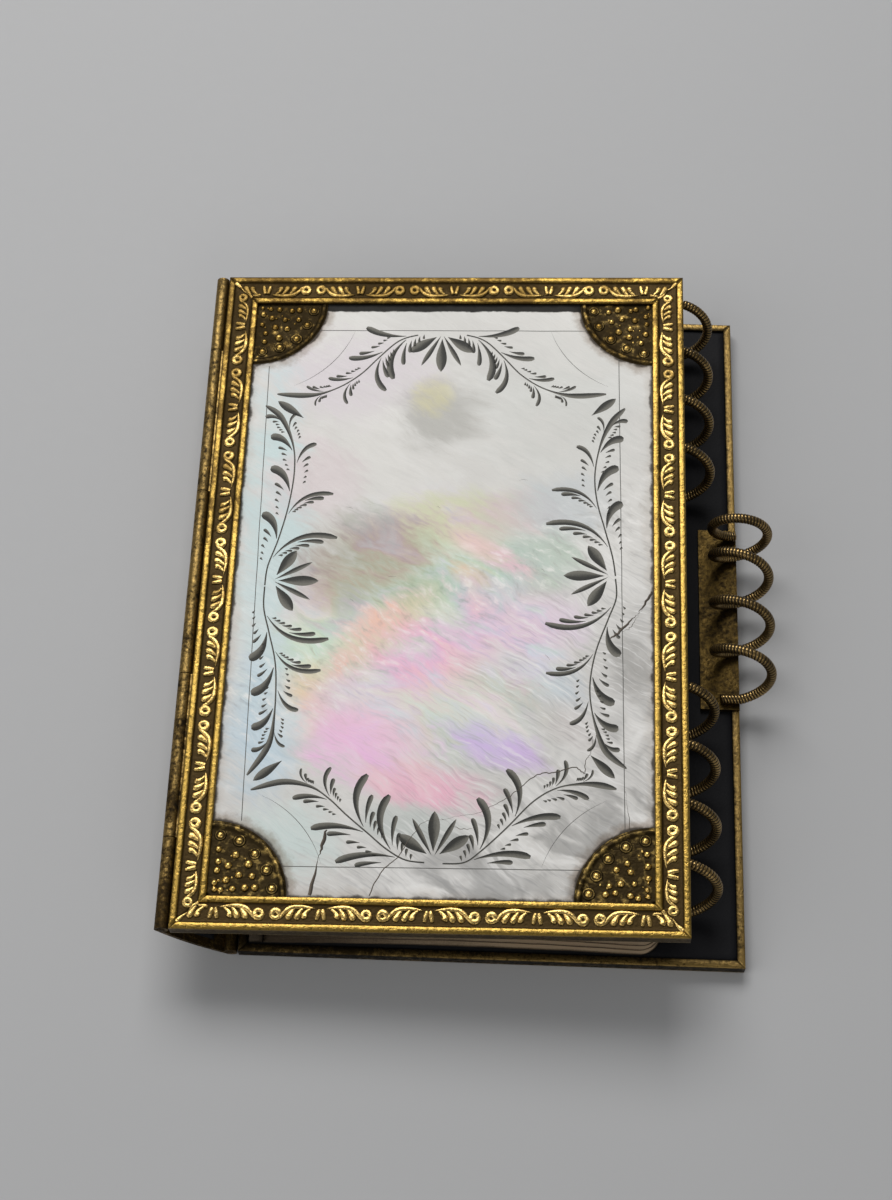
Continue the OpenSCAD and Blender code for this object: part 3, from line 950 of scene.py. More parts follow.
class Scatter:
    """Geometry nodes that set a motif on every spot and make one plain mesh of them."""

    def __init__(self, name: str) -> None:
        """Builds the node tree with its named inputs."""
        self.tree = bpy.data.node_groups.new(name, "GeometryNodeTree")
        face = self.tree.interface
        face.new_socket("Geometry", in_out="OUTPUT", socket_type="NodeSocketGeometry")
        for label, kind in (
            ("Spots", "Geometry"),
            ("Motif", "Object"),
            ("Jitter", "Float"),
            ("Seed", "Int"),
            ("Finish", "Material"),
        ):
            face.new_socket(label, in_out="INPUT", socket_type=f"NodeSocket{kind}")
        start, end = self._node("NodeGroupInput"), self._node("NodeGroupOutput")
        motif = self._node("GeometryNodeObjectInfo")
        turn = self._named("turn")
        size = self._named("size")
        spin = self._node("ShaderNodeCombineXYZ")
        angle = self._node("FunctionNodeEulerToRotation")
        least = self._node("ShaderNodeMath", operation="SUBTRACT")
        least.inputs[0].default_value = 1.0
        most = self._node("ShaderNodeMath", operation="ADD")
        most.inputs[0].default_value = 1.0
        chance = self._node("FunctionNodeRandomValue", data_type="FLOAT")
        scale = self._node("ShaderNodeMath", operation="MULTIPLY")
        put = self._node("GeometryNodeInstanceOnPoints")
        real = self._node("GeometryNodeRealizeInstances")
        paint = self._node("GeometryNodeSetMaterial")
        join = self._join
        join(start.outputs["Motif"], motif.inputs["Object"])
        join(turn, spin.inputs["Z"])
        join(spin.outputs[0], angle.inputs[0])
        join(start.outputs["Jitter"], least.inputs[1])
        join(start.outputs["Jitter"], most.inputs[1])
        join(least.outputs[0], self._input(chance, "Min"))
        join(most.outputs[0], self._input(chance, "Max"))
        join(start.outputs["Seed"], self._input(chance, "Seed"))
        join(size, scale.inputs[0])
        join(next(o for o in chance.outputs if o.enabled), scale.inputs[1])
        join(start.outputs["Spots"], put.inputs["Points"])
        join(motif.outputs["Geometry"], put.inputs["Instance"])
        join(angle.outputs[0], put.inputs["Rotation"])
        join(scale.outputs[0], put.inputs["Scale"])
        join(put.outputs[0], real.inputs[0])
        join(real.outputs[0], paint.inputs["Geometry"])
        join(start.outputs["Finish"], paint.inputs["Material"])
        join(paint.outputs[0], end.inputs[0])

    def _node(self, kind: str, **props: str) -> bpy.types.Node:
        """Adds a node with settings."""
        made = self.tree.nodes.new(kind)
        for key, value in props.items():
            setattr(made, key, value)
        return made

    def _named(self, name: str) -> bpy.types.NodeSocket:
        """Adds a named attribute and returns its output."""
        made = self._node("GeometryNodeInputNamedAttribute", data_type="FLOAT")
        made.inputs["Name"].default_value = name
        return next(o for o in made.outputs if o.enabled)

    @staticmethod
    def _input(node: bpy.types.Node, name: str) -> bpy.types.NodeSocket:
        """Returns a node's input that is in use, by name."""
        return next(s for s in node.inputs if s.enabled and s.name == name)

    def _join(self, out: bpy.types.NodeSocket, into: bpy.types.NodeSocket) -> None:
        """Links two sockets."""
        self.tree.links.new(out, into)

    def piece(
        self,
        name: str,
        motif: bpy.types.Mesh,
        spots: Sequence[Spot],
        finish: bpy.types.Material,
        cover: CoverFrame,
        slot: str,
        jitter: float,
        seed: int,
    ) -> None:
        """Sets the motif on the spots of a cover and adds them as one piece.

        Args:
            name: The piece's name.
            motif: What is repeated.
            spots: Where it goes on the cover.
            finish: Its material.
            cover: The cover.
            slot: The name of a record's slot; not used.
            jitter: Share by which sizes vary.
            seed: Fixes that variation.
        """
        cloud = bpy.data.meshes.new(name)
        cloud.from_pydata([(s.x, s.y, s.lift) for s in spots], [], [])
        turns = [math.radians(s.turn) for s in spots]
        for key, values in (("turn", turns), ("size", [s.size for s in spots])):
            cloud.attributes.new(key, "FLOAT", "POINT").data.foreach_set("value", values)
        pattern = bpy.data.objects.new(f"{name}_motif", motif)
        holder = bpy.data.objects.new(f"{name}_spots", cloud)
        for thing in (pattern, holder):
            bpy.context.scene.collection.objects.link(thing)
        modifier = holder.modifiers.new(name, "NODES")
        modifier.node_group = self.tree
        given = {"Motif": pattern, "Jitter": jitter, "Seed": seed, "Finish": finish}
        for item in self.tree.interface.items_tree:
            if item.in_out == "INPUT" and item.name in given:
                modifier[item.identifier] = given[item.name]
        holder.update_tag()
        bpy.context.view_layer.update()
        graph = bpy.context.evaluated_depsgraph_get()
        made = bpy.data.meshes.new_from_object(holder.evaluated_get(graph))
        made.name = name
        holder.modifiers.remove(modifier)
        for thing in (pattern, holder):
            bpy.data.objects.remove(thing)
        bpy.data.meshes.remove(cloud)
        add_piece(name, settle(made, cover), finish, cover.body)


def settle(mesh: bpy.types.Mesh, cover: CoverFrame) -> bpy.types.Mesh:
    """Moves a mesh that lies flat on a cover to its place in the row frame.

    Args:
        mesh: A mesh in millimetres on the cover.
        cover: The cover.

    Returns:
        The same mesh, placed.
    """
    for v in mesh.vertices:
        v.co = cover.point(*v.co)
    if cover.flips:
        mesh.flip_normals()
    mesh.polygons.foreach_set("use_smooth", [True] * len(mesh.polygons))
    mesh.update()
    return mesh


def add_piece(
    name: str,
    mesh: bpy.types.Mesh,
    finish: bpy.types.Material,
    body: str,
    nodes: Iterable[str] = (),
) -> bpy.types.Object:
    """Adds a piece to the case.

    Args:
        name: The piece's name.
        mesh: Its mesh in the row frame.
        finish: Its material.
        body: The body that it rides on.
        nodes: CAD nodes that it stands for.

    Returns:
        The new object.
    """
    mesh.materials.clear()
    mesh.materials.append(finish)
    made = bpy.data.objects.new(name, mesh)
    bpy.context.scene.collection.objects.link(made)
    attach(made, body)
    names = list(nodes)
    if names:
        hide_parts(*names)
    LOG.info("%s: %d faces on %s", name, len(mesh.polygons), body)
    return made


def paint_node(node: str, finish: bpy.types.Material) -> None:
    """Gives a CAD node that stays in view its material.

    Args:
        node: The node's name.
        finish: Its material.
    """
    data = frame["nodes"][node].data
    data.materials.clear()
    data.materials.append(finish)
    LOG.info("%s keeps its CAD shape", node)


@dataclass(frozen=True)
class Finishes:
    """All materials of the case."""

    strip: bpy.types.Material
    old_strip: bpy.types.Material
    scroll: bpy.types.Material
    pearled: bpy.types.Material
    hinge: bpy.types.Material
    plate: bpy.types.Material
    wire: bpy.types.Material
    nacre: dict[Side, bpy.types.Material]
    cut: bpy.types.Material
    hairline: bpy.types.Material
    crack: bpy.types.Material
    lining: bpy.types.Material
    paper: bpy.types.Material
    board: bpy.types.Material
    guard: bpy.types.Material
    thread: bpy.types.Material

    @classmethod
    def build(cls, sizes: CaseSizes) -> "Finishes":
        """Builds every material.

        Args:
            sizes: The case's sizes, for the plaques' clouds and edges.

        Returns:
            The materials.
        """
        middles = {
            side: tuple(v / MM for v in CoverFrame(side, sizes).point(0, 0, -sizes.band)[:2]) for side in Side
        }
        return cls(
            strip=Gilt("stamped_gilt").build(),
            # The back cover's strips: a darker, more worn copy of the gilt, whose darkness is partly wear and
            # partly painted shade; its slope leaves the spine side duller.
            old_strip=Gilt(
                "worn_strip",
                bright=(0.36, 0.24, 0.08),
                dull=(0.06, 0.04, 0.016),
                ground=(0.012, 0.009, 0.005),
                kept=0.3,
                gloss=0.26,
                fade=(0.006, 0.001),
            ).build(),
            scroll=Gilt(
                "scroll_gilt",
                bright=(0.7, 0.49, 0.172),
                dull=(0.25, 0.16, 0.045),
                kept=0.5,
                gloss=0.18,
                pits=0.6,
            ).build(),
            pearled=Gilt(
                "pearled_gilt",
                bright=(0.84, 0.58, 0.18),
                dull=(0.32, 0.195, 0.045),
                ground=(0.027, 0.017, 0.004),
                kept=0.35,
                gloss=0.18,
                grain=1.1,
                pits=0.25,
                remains=0.12,
            ).build(),
            hinge=Gilt(
                "hinge_gilt",
                bright=(0.36, 0.24, 0.08),
                dull=(0.1, 0.062, 0.02),
                ground=(0.02, 0.014, 0.007),
                kept=0.6,
                gloss=0.3,
                stamped=False,
                # Duller towards the tail: painted shade at the tail end of the hinges and spine.
                fade=(0.0, 0.006),
            ).build(),
            plate=Gilt(
                "worn_brass",
                bright=(0.105, 0.068, 0.02),
                dull=(0.055, 0.035, 0.011),
                ground=(0.022, 0.014, 0.005),
                kept=0.7,
                gloss=0.3,
                stamped=False,
            ).build(),
            wire=Wound("wound_wire").build(),
            nacre={
                side: Nacre(
                    f"mother_of_pearl_{side.value}",
                    middles[side],
                    sizes.half_open,
                    sizes.corner,
                    GLOWS[side],
                    # The front plaque gets a painted shadow along its head edge.
                    gap=1.15 if side is Side.FRONT else 0.0,
                ).build()
                for side in Side
            },
            cut=Engraved("engraved_line").build(),
            hairline=Engraved("hairline", (0.06, 0.06, 0.055), (0.15, 0.15, 0.14)).build(),
            crack=Engraved("crack_line", (0.035, 0.026, 0.018), (0.16, 0.13, 0.1)).build(),
            lining=Stuff(
                "dark_lining", Weave.LEATHER, (0.0025, 0.003, 0.0055), (0.009, 0.0085, 0.011)
            ).build(),
            paper=Stuff("leaf_paper", Weave.PAPER, (0.62, 0.475, 0.32), (0.4, 0.27, 0.155), 0.3).build(),
            board=Stuff("pasteboard", Weave.BOARD, (0.36, 0.28, 0.18), (0.22, 0.16, 0.1)).build(),
            guard=Stuff("guard_cloth", Weave.CLOTH, (0.07, 0.052, 0.034), (0.035, 0.025, 0.016)).build(),
            thread=Stuff("sewing_thread", Weave.CLOTH, (0.36, 0.3, 0.21), (0.22, 0.17, 0.11)).build(),
        )


GLOWS: dict[Side, tuple[Glow, ...]] = {
    Side.FRONT: (
        Glow(-13, 31, 13, 8, 0, (0.66, 0.6, 0.66), 0.8),
        Glow(14, 26, 12, 12, 20, (0.6, 0.62, 0.6), 0.7),
        Glow(-22, 4, 5, 30, 3, (0.52, 0.7, 0.73), 0.85),
        Glow(-17, 15, 7, 7, 15, (0.64, 0.54, 0.57), 0.75),
        Glow(-1.4, 24.8, 7.5, 5.6, 12, (0.3, 0.3, 0.27), 0.7),
        Glow(-2.4, 27.8, 3.0, 3.6, 0, (0.6, 0.56, 0.27), 0.75),
        Glow(0.5, 9.0, 12, 4.6, 8, (0.58, 0.61, 0.34), 0.8),
        Glow(8.5, 9.5, 8, 4, 10, (0.6, 0.47, 0.5), 0.75),
        Glow(15, 11, 7, 6, 0, (0.5, 0.56, 0.6), 0.7),
        Glow(-9.5, 4.2, 11, 6.5, 18, (0.36, 0.32, 0.26), 0.95),
        Glow(-14.5, -3.2, 6, 4, 25, (0.42, 0.35, 0.29), 0.85),
        Glow(1.5, 0.5, 12, 3.6, 24, (0.38, 0.53, 0.4), 0.9),
        Glow(12.5, 3.0, 8, 4.6, 10, (0.4, 0.54, 0.43), 0.85),
        Glow(-16.4, -9.6, 5.5, 5, 30, (0.56, 0.74, 0.58), 0.85),
        Glow(5.8, 4.4, 6, 1.9, -30, (0.9, 0.46, 0.54), 0.9),
        Glow(3.6, 1.0, 3.6, 1.8, -25, (0.92, 0.52, 0.42), 0.85),
        Glow(-7.8, -8.0, 11, 4.2, 42, (0.93, 0.54, 0.27), 0.97),
        Glow(-17.5, -16.5, 6, 4.6, 40, (0.9, 0.64, 0.3), 0.92),
        Glow(-2.2, -11.0, 11, 5.4, 36, (0.95, 0.47, 0.67), 0.94),
        Glow(-13.0, -17.0, 6, 3.6, 40, (0.92, 0.55, 0.6), 0.85),
        Glow(10.5, -7.5, 9, 5, 20, (0.8, 0.62, 0.84), 0.8),
        Glow(12.0, -13.5, 7, 4, -20, (0.6, 0.72, 0.86), 0.75),
        Glow(-7.5, -16.6, 8, 3.4, -10, (0.72, 0.82, 0.8), 0.8),
        Glow(4.0, -17.5, 8, 4, -30, (0.84, 0.8, 0.86), 0.8),
        Glow(-8.5, -22.4, 9, 5.4, -10, (0.98, 0.5, 0.87), 0.97),
        Glow(-1.0, -28.0, 9, 3.4, -8, (0.98, 0.46, 0.64), 0.95),
        Glow(8.2, -22.6, 6.5, 3, -18, (0.7, 0.48, 0.94), 0.92),
        Glow(13.5, -17.5, 10, 2.6, -35, (0.6, 0.56, 0.55), 0.75),
        Glow(-3.0, -33.0, 9, 2.8, 0, (0.5, 0.57, 0.55), 0.7),
        Glow(-22, -20, 5, 12, 5, (0.5, 0.7, 0.84), 0.85),
        Glow(-18, -35, 8, 5, 0, (0.62, 0.77, 0.76), 0.85),
        Glow(0, -40, 12, 3, 0, (0.78, 0.78, 0.78), 0.6),
        Glow(24.2, -10.8, 3.0, 6.5, 0, (0.3, 0.3, 0.28), 0.85),
    ),
    Side.BACK: (
        Glow(-10, 18, 12, 9, 15, (0.52, 0.7, 0.56), 0.7),
        Glow(8, 4, 12, 8, -20, (0.8, 0.56, 0.64), 0.75),
        Glow(-6, -20, 12, 8, 10, (0.6, 0.62, 0.8), 0.7),
        Glow(14, -28, 9, 8, 0, (0.7, 0.74, 0.6), 0.6),
    ),
}


@dataclass
class StampedFrame:
    """The four mitred strips of a cover with their scroll ornament."""

    cover: CoverFrame
    finishes: Finishes
    scatter: Scatter
    unit: float = 12.87
    stations: int = 150

    KINDS = ("whole", "left", "right", "end_left", "end_right", "cut_left", "cut_right", "solder")
    # Room past the last unit from which a whole scroll fits at a mitre.
    END_ROOM = 5.0

    def build(self) -> None:
        """Builds the strips and their ornament."""
        for edge in Edge:
            self._strip(edge)
        self._ornament()

    def _axes(self, edge: Edge) -> tuple[Vector, Vector, Vector, float]:
        """Returns a strip's middle on the outer edge, its way along, its way inwards and its length."""
        s = self.cover.sizes
        turn = math.radians(edge.value)
        along = Vector((math.cos(turn), math.sin(turn)))
        inward = Vector((-along.y, along.x))
        level = edge in (Edge.HEAD, Edge.TAIL)
        return (
            inward * (-(s.height if level else s.width) / 2),
            along,
            inward,
            s.width if level else s.height,
        )

    def _profile(self) -> list[tuple[float, float, float]]:
        """Returns a strip's closed section: distance inwards, lift and relief."""
        s = self.cover.sizes
        half = s.fillet / 2
        section = []
        for middle in (half, s.strip - half):
            for j in range(9):
                a = math.pi * (1 - j / 8)
                up = max(math.sin(a), 0.0) ** 0.55
                section.append((middle + half * math.cos(a), -0.2 + 0.2 * up, 0.45 + 0.55 * up))
            if middle == half:
                section += [
                    (s.fillet + 0.02, -s.sunk, 0.1),
                    (s.fillet + 0.3, -s.sunk - 0.02, 0.0),
                    (s.strip / 2, -s.sunk - 0.02, 0.04),
                    (s.strip - s.fillet - 0.3, -s.sunk - 0.02, 0.0),
                    (s.strip - s.fillet - 0.02, -s.sunk, 0.1),
                ]
        deep = s.thick - s.lip_t
        section += [
            (s.strip, -s.band, 0.3),
            (s.wall, -s.band, 0.3),
            (s.wall, -deep, 0.3),
            (s.lip, -deep, 0.1),
            (s.lip, -s.thick + 0.1, 0.2),
            (s.lip - 0.1, -s.thick, 0.34),
            (0.5, -s.thick, 0.44),
            (0.12, -s.thick, 0.7),
            (0.03, -s.thick + 0.04, 0.72),
            (0.0, -s.thick + 0.12, 0.5),
            (0.0, -s.thick + 0.3, 0.2),
            (0.0, -0.5, 0.24),
            (0.0, -0.3, 0.5),
        ]
        return section

    def _strip(self, edge: Edge) -> None:
        """Builds one strip, mitred at both ends."""
        middle, along, inward, run = self._axes(edge)
        section = self._profile()
        maker = MeshMaker()
        rows = []
        seed = edge.value * 0.37 + (11.0 if self.cover.side is Side.FRONT else 3.0)
        for i in range(self.stations + 1):
            t = 2 * i / self.stations - 1
            row = []
            for w, lift, relief in section:
                at = t * (run / 2 - w)
                sway = 0.022 * wobble(at * 0.35, seed, w) + 0.012 * wobble(at * 1.7, seed, w * 3)
                shallow = lift > -0.3 and 0 < w < self.cover.sizes.strip
                drop = min(0.0, sway - 0.006) if shallow else 0.0
                p = middle + along * at + inward * (w + (sway * 0.5 if shallow else 0.0))
                row.append(maker.add(p.x, p.y, lift + drop, at, w, relief + sway * 3))
            rows.append(row[::-1])
        maker.grid(rows, across=True)
        maker.cap(rows)
        name = self.cover.node(edge.node)
        mesh = maker.mesh(name, self.cover.point, self.cover.flips)
        # The back cover's strips take the darker copy, which is partly painted shade.
        finish = self.finishes.strip if self.cover.side is Side.FRONT else self.finishes.old_strip
        add_piece(f"{name}_stamped", mesh, finish, self.cover.body, [name])

    def _spray(self, maker: MeshMaker, way: float, cut: bool = False) -> None:
        """Adds one scroll: a ringed volute with a fan of comma leaves.

        Args:
            maker: Where its strokes go.
            way: 1 or -1 along the strip.
            cut: Whether only the part that is left at a mitre is wanted.
        """
        half = self.unit / 2

        def line(*points: Flat) -> list[Flat]:
            """Returns a smooth line through points given from the volute's end of the unit."""
            return smooth_path([(way * (x - half), -y) for x, y in points], 5)

        def comma(head: float) -> Callable[[float], float]:
            """Returns the width of a stroke that swells to a round head."""

            def width(t: float) -> float:
                """Returns the width at a share of the stroke."""
                grown = 0.3 + (head - 0.3) * min(t / 0.7, 1.0) ** 1.3
                return grown * (1.0 if t < 0.74 else max(0.0, 1 - ((t - 0.74) / 0.26) ** 2) ** 0.5)

            return width

        def leaf(t: float) -> float:
            """Returns the width of the long stroke: a neck that opens to a pointed leaf."""
            return 0.36 + 0.3 * math.sin(math.pi * t**1.4) - 0.3 * max(0.0, (t - 0.8) / 0.2) ** 2

        first = line((3.3, -0.72), (2.85, -0.1), (2.38, 0.72))
        second = line((4.3, -0.75), (3.85, -0.15), (3.42, 0.74))
        third = line((5.2, -0.66), (4.72, -0.25), (4.5, 0.2), (4.62, 0.56))
        if cut:
            maker.stroke(line((4.6, -0.86), (5.1, -0.84), (5.75, -0.72)), comma(0.5), 0.22)
            maker.stroke(second, comma(0.86), 0.24)
            maker.stroke(third, comma(0.9), 0.24)
            return
        turns = [2 * math.pi * i / 18 for i in range(18)]
        ring = [(way * (1.02 + 0.47 * math.cos(a) - half), -0.06 - 0.5 * math.sin(a)) for a in turns]
        loop = ring if way < 0 else ring[::-1]
        maker.stroke(loop, lambda t: 0.72 + 0.1 * math.cos(4 * t), 0.24, closed=True)
        neck = ((1.1, 0.62), (1.6, 0.42), (2.0, -0.12), (2.5, -0.58), (3.2, -0.84), (4.3, -0.88))
        maker.stroke(line(*neck, (5.75, -0.7)), leaf, 0.24)
        for path, head in ((first, 0.88), (second, 0.86), (third, 0.9)):
            maker.stroke(path, comma(head), 0.25)

    def _dart(self, maker: MeshMaker) -> None:
        """Adds the pair of small leaves between two scrolls."""
        for way in (-1, 1):
            path = smooth_path([(way * 0.46, -0.72), (way * 0.36, -0.1), (way * 0.17, 0.62)], 5)
            maker.stroke(path, lambda t: 0.3 + 0.36 * math.sin(math.pi * (0.25 + 0.65 * (1 - t))), 0.24)

    def _ornament(self) -> None:
        """Sets whole and part units of the scroll along all four strips, and solder on each mitre."""
        spots = self._spots()
        for kind, maker in self._motifs().items():
            name, motif = self.cover.node(f"scroll_{kind}"), maker.mesh(f"scroll_{kind}")
            self.scatter.piece(name, motif, spots[kind], self.finishes.scroll, self.cover, "gilt", 0.012, 5)

    def _motifs(self) -> dict[str, MeshMaker]:
        """Draws each kind of unit once.

        Returns:
            The units, by kind.
        """
        makers = {kind: MeshMaker() for kind in self.KINDS}
        for kind, ways in (("whole", (1, -1)), ("left", (1,)), ("right", (-1,))):
            for way in ways:
                self._spray(makers[kind], way)
            self._dart(makers[kind])
        for kind, way in (("left", 1), ("right", -1)):
            self._spray(makers[f"end_{kind}"], way)
            self._spray(makers[f"cut_{kind}"], way, True)
        path = smooth_path([(-1.9, 0.05), (-1.0, -0.12), (-0.1, 0.1), (0.9, -0.04), (1.9, 0.03)], 6)

        def drops(t: float) -> float:
            """Returns the uneven width of the solder."""
            return 0.34 + 0.24 * math.sin(9.0 * t) * t + 0.3 * abs(2 * t - 1) ** 3

        makers["solder"].stroke(path, drops, 0.2)
        return makers

    def _spots(self) -> dict[str, list[Spot]]:
        """Shares out each strip's length among the units.

        Returns:
            Where each kind of unit goes.
        """
        s = self.cover.sizes
        spots: dict[str, list[Spot]] = {kind: [] for kind in self.KINDS}
        depth = -s.sunk - 0.02
        for edge in Edge:
            middle, along, inward, run = self._axes(edge)
            middle = middle + inward * (s.strip / 2)
            count = int((run / 2 - s.strip - self.unit / 2) // self.unit)
            for k in range(-count - 1, count + 2):
                kind = "left" if k > count else "right" if k < -count else "whole"
                p = middle + along * (k * self.unit)
                spots[kind].append(Spot(p.x, p.y, depth, edge.value))
            last, end = (count + 1) * self.unit, run / 2 - s.strip / 2
            part, size = ("end", 0.84) if end - last > self.END_ROOM else ("cut", 1.0)
            for way, kind in ((1, "right"), (-1, "left")):
                p = middle + along * (way * last)
                spots[f"{part}_{kind}"].append(Spot(p.x, p.y, depth, edge.value, size))
            tip = middle + along * end
            spots["solder"].append(Spot(tip.x, tip.y, depth, edge.value - 45, 0.92))
        return spots


@dataclass
class CornerPieces:
    """The four pearled quarter discs that hold a plaque."""

    cover: CoverFrame
    finishes: Finishes
    scatter: Scatter

    CORNERS = (
        (-1, 1, "corner_head_spine"),
        (1, 1, "corner_head_fore"),
        (-1, -1, "corner_tail_spine"),
        (1, -1, "corner_tail_fore"),
    )
    # Sections as radius, height and relief, from the rim to the middle.
    BOSS = (
        (0.95, -0.03, 0.05),
        (0.86, 0.07, 0.12),
        (0.74, 0.11, 0.26),
        (0.64, 0.08, 0.12),
        (0.56, 0.02, 0.0),
        (0.5, 0.08, 0.2),
        (0.42, 0.22, 0.8),
        (0.22, 0.32, 1.0),
        (0.06, 0.35, 1.0),
    )
    PEARL = (
        (0.5, -0.03, 0.0),
        (0.44, 0.1, 0.35),
        (0.34, 0.26, 0.85),
        (0.18, 0.36, 1.0),
        (0.05, 0.38, 1.0),
    )
    # Rings as radius, angles and size, and the number of small pearls strewn between them.
    BOSS_RING = (7.85, (8, 26, 45, 64, 82), 0.86)
    PEARL_RINGS = (
        (6.1, (8, 25, 42, 60, 80), 1.0),
        (4.7, (13, 34, 56, 76), 0.95),
        (3.3, (16, 46, 74), 0.9),
        (2.0, (22, 66), 0.8),
        (0.95, (45,), 0.75),
    )
    SEEDS = 8

    def build(self) -> None:
        """Builds the plates and sets their bosses and pearls."""
        spots: dict[str, list[Spot]] = {"bosses": [], "pearls": []}
        chance = random.Random(71 if self.cover.side is Side.FRONT else 72)
        for sx, sy, node in self.CORNERS:
            self._plate(sx, sy, node)
            self._sow(sx, sy, chance, spots)
        for kind, profile, sides in (("bosses", self.BOSS, 18), ("pearls", self.PEARL, 14)):
            motif = MeshMaker()
            motif.lathe(profile, sides)
            name, mesh, finish = self.cover.node(f"corner_{kind}"), motif.mesh(kind), self.finishes.pearled
            self.scatter.piece(name, mesh, spots[kind], finish, self.cover, "pearled_gilt", 0.06, 9)

    def _sow(self, sx: int, sy: int, chance: random.Random, spots: dict[str, list[Spot]]) -> None:
        """Chooses the places on one quarter disc: bosses by the rim, then rings of pearls, then seeds.

        Args:
            sx: 1 at the fore-edge, -1 at the spine.
            sy: 1 at the head, -1 at the tail.
            chance: Where the unevenness comes from.
            spots: The lists that the places are added to.
        """
        s = self.cover.sizes

        def add(kind: str, r: float, degrees: float, size: float) -> None:
            """Adds a spot at a radius and angle from the corner."""
            a = math.radians(degrees)
            x, y = sx * s.half_open[0] - sx * r * math.cos(a), sy * s.half_open[1] - sy * r * math.sin(a)
            spots[kind].append(Spot(x, y, -s.band + 0.02, chance.uniform(0, 360), size))

        ring, angles, size = self.BOSS_RING
        for a in angles:
            add("bosses", ring + chance.uniform(-0.15, 0.15), a, size)
        for ring, angles, size in self.PEARL_RINGS:
            for a in angles:
                reach, turn = ring + chance.uniform(-0.3, 0.3), a + chance.uniform(-4, 4)
                add("pearls", reach, turn, size * chance.uniform(0.85, 1.15))
        for _ in range(self.SEEDS):
            reach, turn = chance.uniform(1.2, 6.9), chance.uniform(8, 82)
            add("pearls", reach, turn, chance.uniform(0.26, 0.4))

    def _plate(self, sx: int, sy: int, node: str) -> None:
        """Builds one quarter disc with its rim; sx and sy say which corner."""
        s = self.cover.sizes
        cx, cy = sx * s.half_open[0], sy * s.half_open[1]
        rim, bead, fan = s.corner - 0.48, 0.32, 49
        radii = [0.5 * i for i in range(18)]
        radii += [rim + bead * math.sin(math.radians(a)) for a in range(-80, 91, 20)]
        radii += [s.corner - 0.02, s.corner]
        maker = MeshMaker()
        rows = []
        for r in radii:
            row = []
            for i in range(fan if r else 1):
                a = math.radians(-3.6 + 97.2 * i / (fan - 1))
                x, y = cx - sx * r * math.cos(a), cy - sy * r * math.sin(a)
                off = abs(r - rim)
                up = math.sqrt(max(0.0, bead**2 - off * off))
                uneven = 0.03 * wobble(x * 1.3, y * 1.3, 4.0) + 0.012 * wobble(x * 4, y * 4, 9.0)
                lift = -s.band + up * 0.5 + min(uneven, 0.02)
                row.append(maker.add(x, y, lift, r, a, 0.14 + up * 0.3 + uneven * 6))
            rows.append(row * (fan // len(row)))
        under = -s.band - s.plaque_t
        low = [maker.add(*maker.points[i][:2], under, s.corner, 0.0, 0.0) for i in rows[-1]]
        rows += [low, [maker.add(cx, cy, under, 0.0, 0.0, 0.0)] * fan]
        if sx * sy > 0:
            rows = [row[::-1] for row in rows]
        maker.grid(rows)
        maker.faces += [tuple(q[0] for q in rows), tuple(q[-1] for q in reversed(rows))]
        name = self.cover.node(node)
        mesh = maker.mesh(name, self.cover.point, self.cover.flips)
        add_piece(f"{name}_plate", mesh, self.finishes.pearled, self.cover.body, [name])


@dataclass(frozen=True)
class Habit:
    """How a spray of leaves grows, in shares of its length along the stem and away from it."""

    tip: Flat
    bend: Flat
    broad: float
    widest: float
    lean: float
    small: tuple[tuple[float, float, float], ...]


@dataclass(frozen=True)
class Stem:
    """One engraved stem of the wreath, from its palmette outwards, with where its leaf sprays grow."""

    points: tuple[Flat, ...]
    inner: tuple[Flat, ...]
    outer: tuple[Flat, ...]
    upright: bool = False


